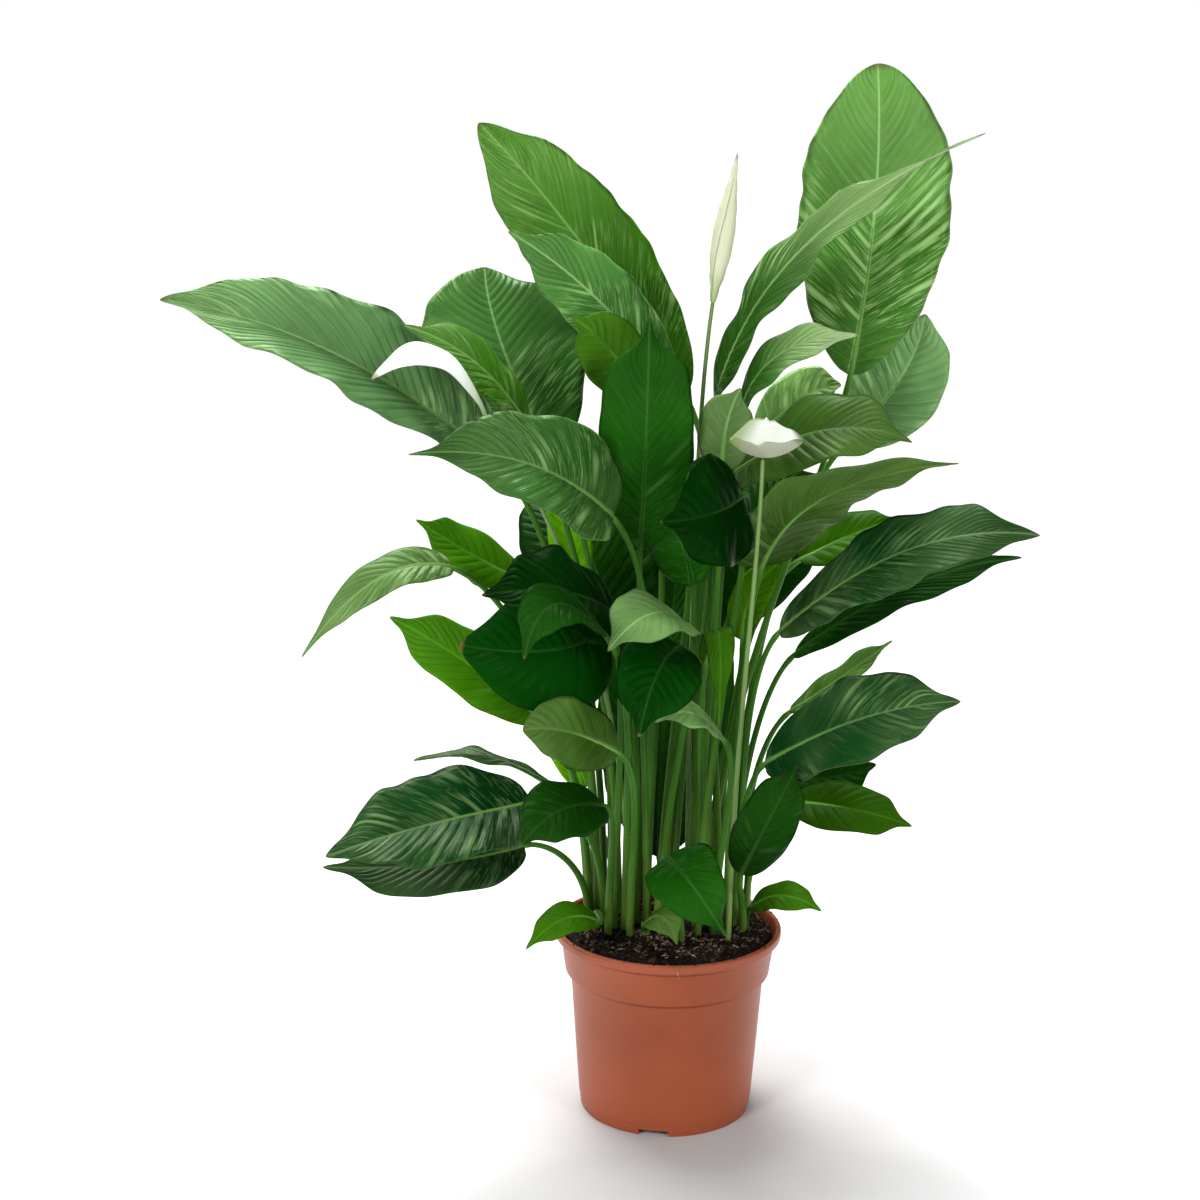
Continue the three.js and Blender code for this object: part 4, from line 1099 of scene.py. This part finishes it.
class LILY_OT_blooms(bpy.types.Operator):
    """Grow the three blooms: the rolled spathe, the open one with its spadix, and the left one"""

    bl_idname = "lily.blooms"
    bl_label = "Blooms"

    def execute(self, context):
        look = context.scene.lily_blooms
        spathe = spathe_surface("spathe_white", look.spathe, look.spathe_foot)
        young = spathe_surface("spathe_young", look.young_spathe, look.spathe_foot)
        stalk = stalk_surface("bloom_stalk", look.stalk)
        self.rolled(young)
        # The open spathes' under faces are dimmed: painted shade.
        dimmer = [part * share for part, share in zip(look.spathe, BACK_SHADE)]
        back = spathe_surface("spathe_back", dimmer, look.spathe_foot)
        self.opened("bloom_open", OPEN_BLOOM, (spathe, back))
        self.opened("bloom_left", LEFT_BLOOM, (spathe, back))
        self.spadix(look)
        rolled_foot = in_metres(ROLLED_BLOOM["foot"])
        rolled_way = (in_metres(ROLLED_BLOOM["tip"]) - rolled_foot).normalized()
        rolled_top = rolled_foot + rolled_way * ROLL_SEAT
        self.stem("bloom_rolled", ROLLED_BLOOM["root"], rolled_top, rolled_way, stalk)
        self.stem("bloom_open", OPEN_BLOOM["root"], in_metres(OPEN_BLOOM["top"]), Vector((0, 0, 1)), stalk)
        left_foot = in_metres(LEFT_BLOOM["foot"])
        left_way = (in_metres(LEFT_BLOOM["belly"]) - left_foot).normalized()
        self.stem("bloom_left", LEFT_BLOOM["root"], left_foot, left_way, stalk)
        return {"FINISHED"}

    @staticmethod
    def stem(name, root, top, way, material):
        whole = Course(stalk_points(root, top - way * STEM_GAP, way), (0, -1, 0), 0.0)

        def radius(s):
            return BLOOM_STALK_FOOT + (BLOOM_STALK_NECK - BLOOM_STALK_FOOT) * s

        bm = start_mesh()
        add_tube(bm, *STEM_GRID, rooted_course(root, whole, STEM_SHARE), radius)
        finish_piece(bm, "lily_" + name + "_stalk", [material], "stalk_green", name + "_stalk")

    @staticmethod
    def opened(name, bloom, materials):
        leaf = {**USUAL, "wave": 0.02, "phase": 1.0, "drip": 0.2, "crease": 0.7, **bloom}
        course = leaf_course(leaf, *(in_metres(bloom[key]) for key in ("foot", "belly", "tip")))
        bm = start_mesh()
        add_sheet(bm, *SPATHE_GRID, blade_place(leaf, course, SPATHE_RELIEF, random.Random(5)))
        finish_piece(bm, "lily_" + name + "_spathe", materials, "spathe_white", name + "_spathe")

    @staticmethod
    def rolled(material):
        foot, tip = (in_metres(ROLLED_BLOOM[key]) for key in ("foot", "tip"))
        axis = tip - foot
        course = Course([foot, foot + axis * 0.5, tip], (0, -1, 0), 0.0)

        def girth(t):
            for (low, near), (high, far) in zip(ROLL_GIRTH, ROLL_GIRTH[1:]):
                if t <= high:
                    return near + (far - near) * smooth_step(low, high, t)
            return ROLL_GIRTH[-1][1]

        def place(across, along, upper):
            spot, side, up, _ = course.at(along)
            wound = (across + 1) / 2
            angle = math.pi - TAU * ROLL_TURNS * wound - along
            ends = min(1.0, along / END_TAPER, (1 - along) / END_TAPER)
            reach = ROLLED_BLOOM["radius"] * MM * girth(along) * (1 + ROLL_OVERLAP * wound) * ends
            if not upper:
                reach -= min(ROLL_THICKNESS, reach * 0.5) * (1 - abs(across) ** MARGIN_TAPER)
            spot = spot + side * (reach * math.cos(angle)) + up * (reach * math.sin(angle))
            return spot, (across, 0, along), 0.0

        bm = start_mesh()
        add_sheet(bm, *ROLL_GRID, place, (0, 0))
        finish_piece(bm, "lily_bloom_rolled_spathe", [material], "spathe_white", "bloom_rolled_spathe")

    @staticmethod
    def spadix(look):
        material, tree, shader = new_material("spadix_cream")
        knob = mottle(tree, 900.0, 1.0)
        cream = clouded(tree, knob, look.spadix, 1.1, 0.6, 0.35, 0.6)
        finish_surface(tree, shader, cream, 0.7, knob, 0.6, 0.0004)
        foot, tip = (in_metres(SPADIX[key]) for key in ("foot", "tip"))
        axis = tip - foot
        radius = SPADIX["radius"] * MM
        bm = bmesh.new()
        ball = bmesh.ops.create_uvsphere(bm, u_segments=40, v_segments=48, radius=1.0)["verts"]
        turn = axis.to_track_quat("Z", "Y").to_matrix()
        for vert in ball:
            angle = math.atan2(vert.co.y, vert.co.x)
            rows = vert.co.z * SPADIX["rows"]
            ring = math.cos(SPADIX["around"] * angle + rows * math.pi)
            wide = radius * (1 + SPADIX["relief"] * ring * math.cos(rows * TAU))
            shaped = Vector((vert.co.x * wide, vert.co.y * wide, vert.co.z * axis.length / 2))
            vert.co = (foot + tip) / 2 + turn @ shaped
        for face in bm.faces:
            face.smooth = True
        finish_piece(bm, "lily_bloom_open_spadix", [material], "spadix_cream", "bloom_open_spadix")


class LILY_OT_studio(bpy.types.Operator):
    """Set up the pale floor with its painted shadow round the pot, the soft lamps, the white surround
    and the camera
    """

    bl_idname = "lily.studio"
    bl_label = "Studio"

    def execute(self, context):
        look = context.scene.lily_studio
        material, tree, shader = new_material("studio_floor")
        from_pot = node(tree, "ShaderNodeVectorMath", {0: object_place(tree)}, operation="LENGTH")
        # Painted shadow: the floor is darker near the pot and fades to its full colour by about 0.44 m out.
        shaded = clouded(tree, from_pot.outputs["Value"], look.floor, 1.0, 0.64, 0.06, 0.44)
        finish_surface(tree, shader, shaded, 0.9, specular=0.0)
        bm = bmesh.new()
        bmesh.ops.create_grid(bm, x_segments=1, y_segments=1, size=FLOOR_SIZE)
        floor = add_mesh(bm, "studio_floor", [material])

        self.sun("key_light", (-0.25, 0.55, 1.0), look.key, 40)
        for name, place, size, share in LAMPS:
            self.lamp(name, place, size, look.side * share)
        self.surround(context, look.sky)
        context.scene.view_settings.view_transform = "Standard"
        self.camera(context)
        return {"FINISHED"}

    @staticmethod
    def surround(context, strength):
        """A white backdrop for the camera, and a gentler light on the plant."""
        world = bpy.data.worlds.new("studio")
        world.use_nodes = True
        tree = world.node_tree
        path = node(tree, "ShaderNodeLightPath").outputs
        level = maths(tree, "MULTIPLY_ADD", path["Is Camera Ray"], 1 - strength, strength)
        level = maths(tree, "MULTIPLY_ADD", path["Is Glossy Ray"], -0.85 * strength, level)
        tree.links.new(level, tree.nodes["Background"].inputs["Strength"])
        tree.nodes["Background"].inputs["Color"].default_value = (1, 1, 1, 1)
        context.scene.world = world

    @staticmethod
    def sun(name, way, strength, softness):
        data = bpy.data.lights.new(name, "SUN")
        data.energy = strength
        data.angle = math.radians(softness)
        add_object(name, data).rotation_euler = Vector(way).to_track_quat("Z", "Y").to_euler()

    @staticmethod
    def lamp(name, place, size, power):
        data = bpy.data.lights.new(name, "AREA")
        data.shape = "DISK"
        data.size = size
        data.energy = power
        lamp = add_object(name, data)
        lamp.location = place
        lamp.rotation_euler = (Vector(LAMP_TARGET) - Vector(place)).to_track_quat("-Z", "Y").to_euler()

    @staticmethod
    def camera(context):
        data = bpy.data.cameras.new("camera")
        data.lens = CAMERA_LENS
        data.sensor_width = SENSOR_WIDTH
        camera = add_object("camera", data)
        turn = (
            Matrix.Rotation(-CAMERA_YAW, 4, "Z")
            @ Matrix.Rotation(math.pi / 2 + CAMERA_PITCH, 4, "X")
            @ Matrix.Rotation(CAMERA_ROLL, 4, "Z")
        )
        camera.matrix_world = Matrix.Translation(CAMERA_PLACE) @ turn
        context.scene.camera = camera


class LILY_PT_panel(bpy.types.Panel):
    """Lists the steps that build the plant"""

    bl_idname = "LILY_PT_panel"
    bl_label = "Peace Lily"
    bl_space_type = "VIEW_3D"
    bl_region_type = "UI"
    bl_category = "Peace Lily"

    def draw(self, context):
        for step in LOOKS:
            self.layout.operator("lily." + step)
            group = getattr(context.scene, "lily_" + step)
            for name in group.bl_rna.properties.keys():
                if name not in {"rna_type", "name"}:
                    self.layout.prop(group, name)


# The steps in the order in which they run, each with what a user may change in it.
LOOKS = {
    "pot": LILY_PotLook, "soil": LILY_SoilLook, "leaves": LILY_LeafLook, "blooms": LILY_BloomLook,
    "studio": LILY_StudioLook,
}
KINDS = (
    *LOOKS.values(), LILY_OT_pot, LILY_OT_soil, LILY_OT_leaves, LILY_OT_blooms, LILY_OT_studio,
    LILY_PT_panel,
)


def register():
    for kind in KINDS:
        bpy.utils.register_class(kind)
    for step, group in LOOKS.items():
        setattr(bpy.types.Scene, "lily_" + step, bpy.props.PointerProperty(type=group))


def unregister():
    for step in LOOKS:
        delattr(bpy.types.Scene, "lily_" + step)
    for kind in reversed(KINDS):
        bpy.utils.unregister_class(kind)


def main():
    register()
    for step in LOOKS:
        getattr(bpy.ops.lily, step)()


if __name__ == "__main__":
    main()
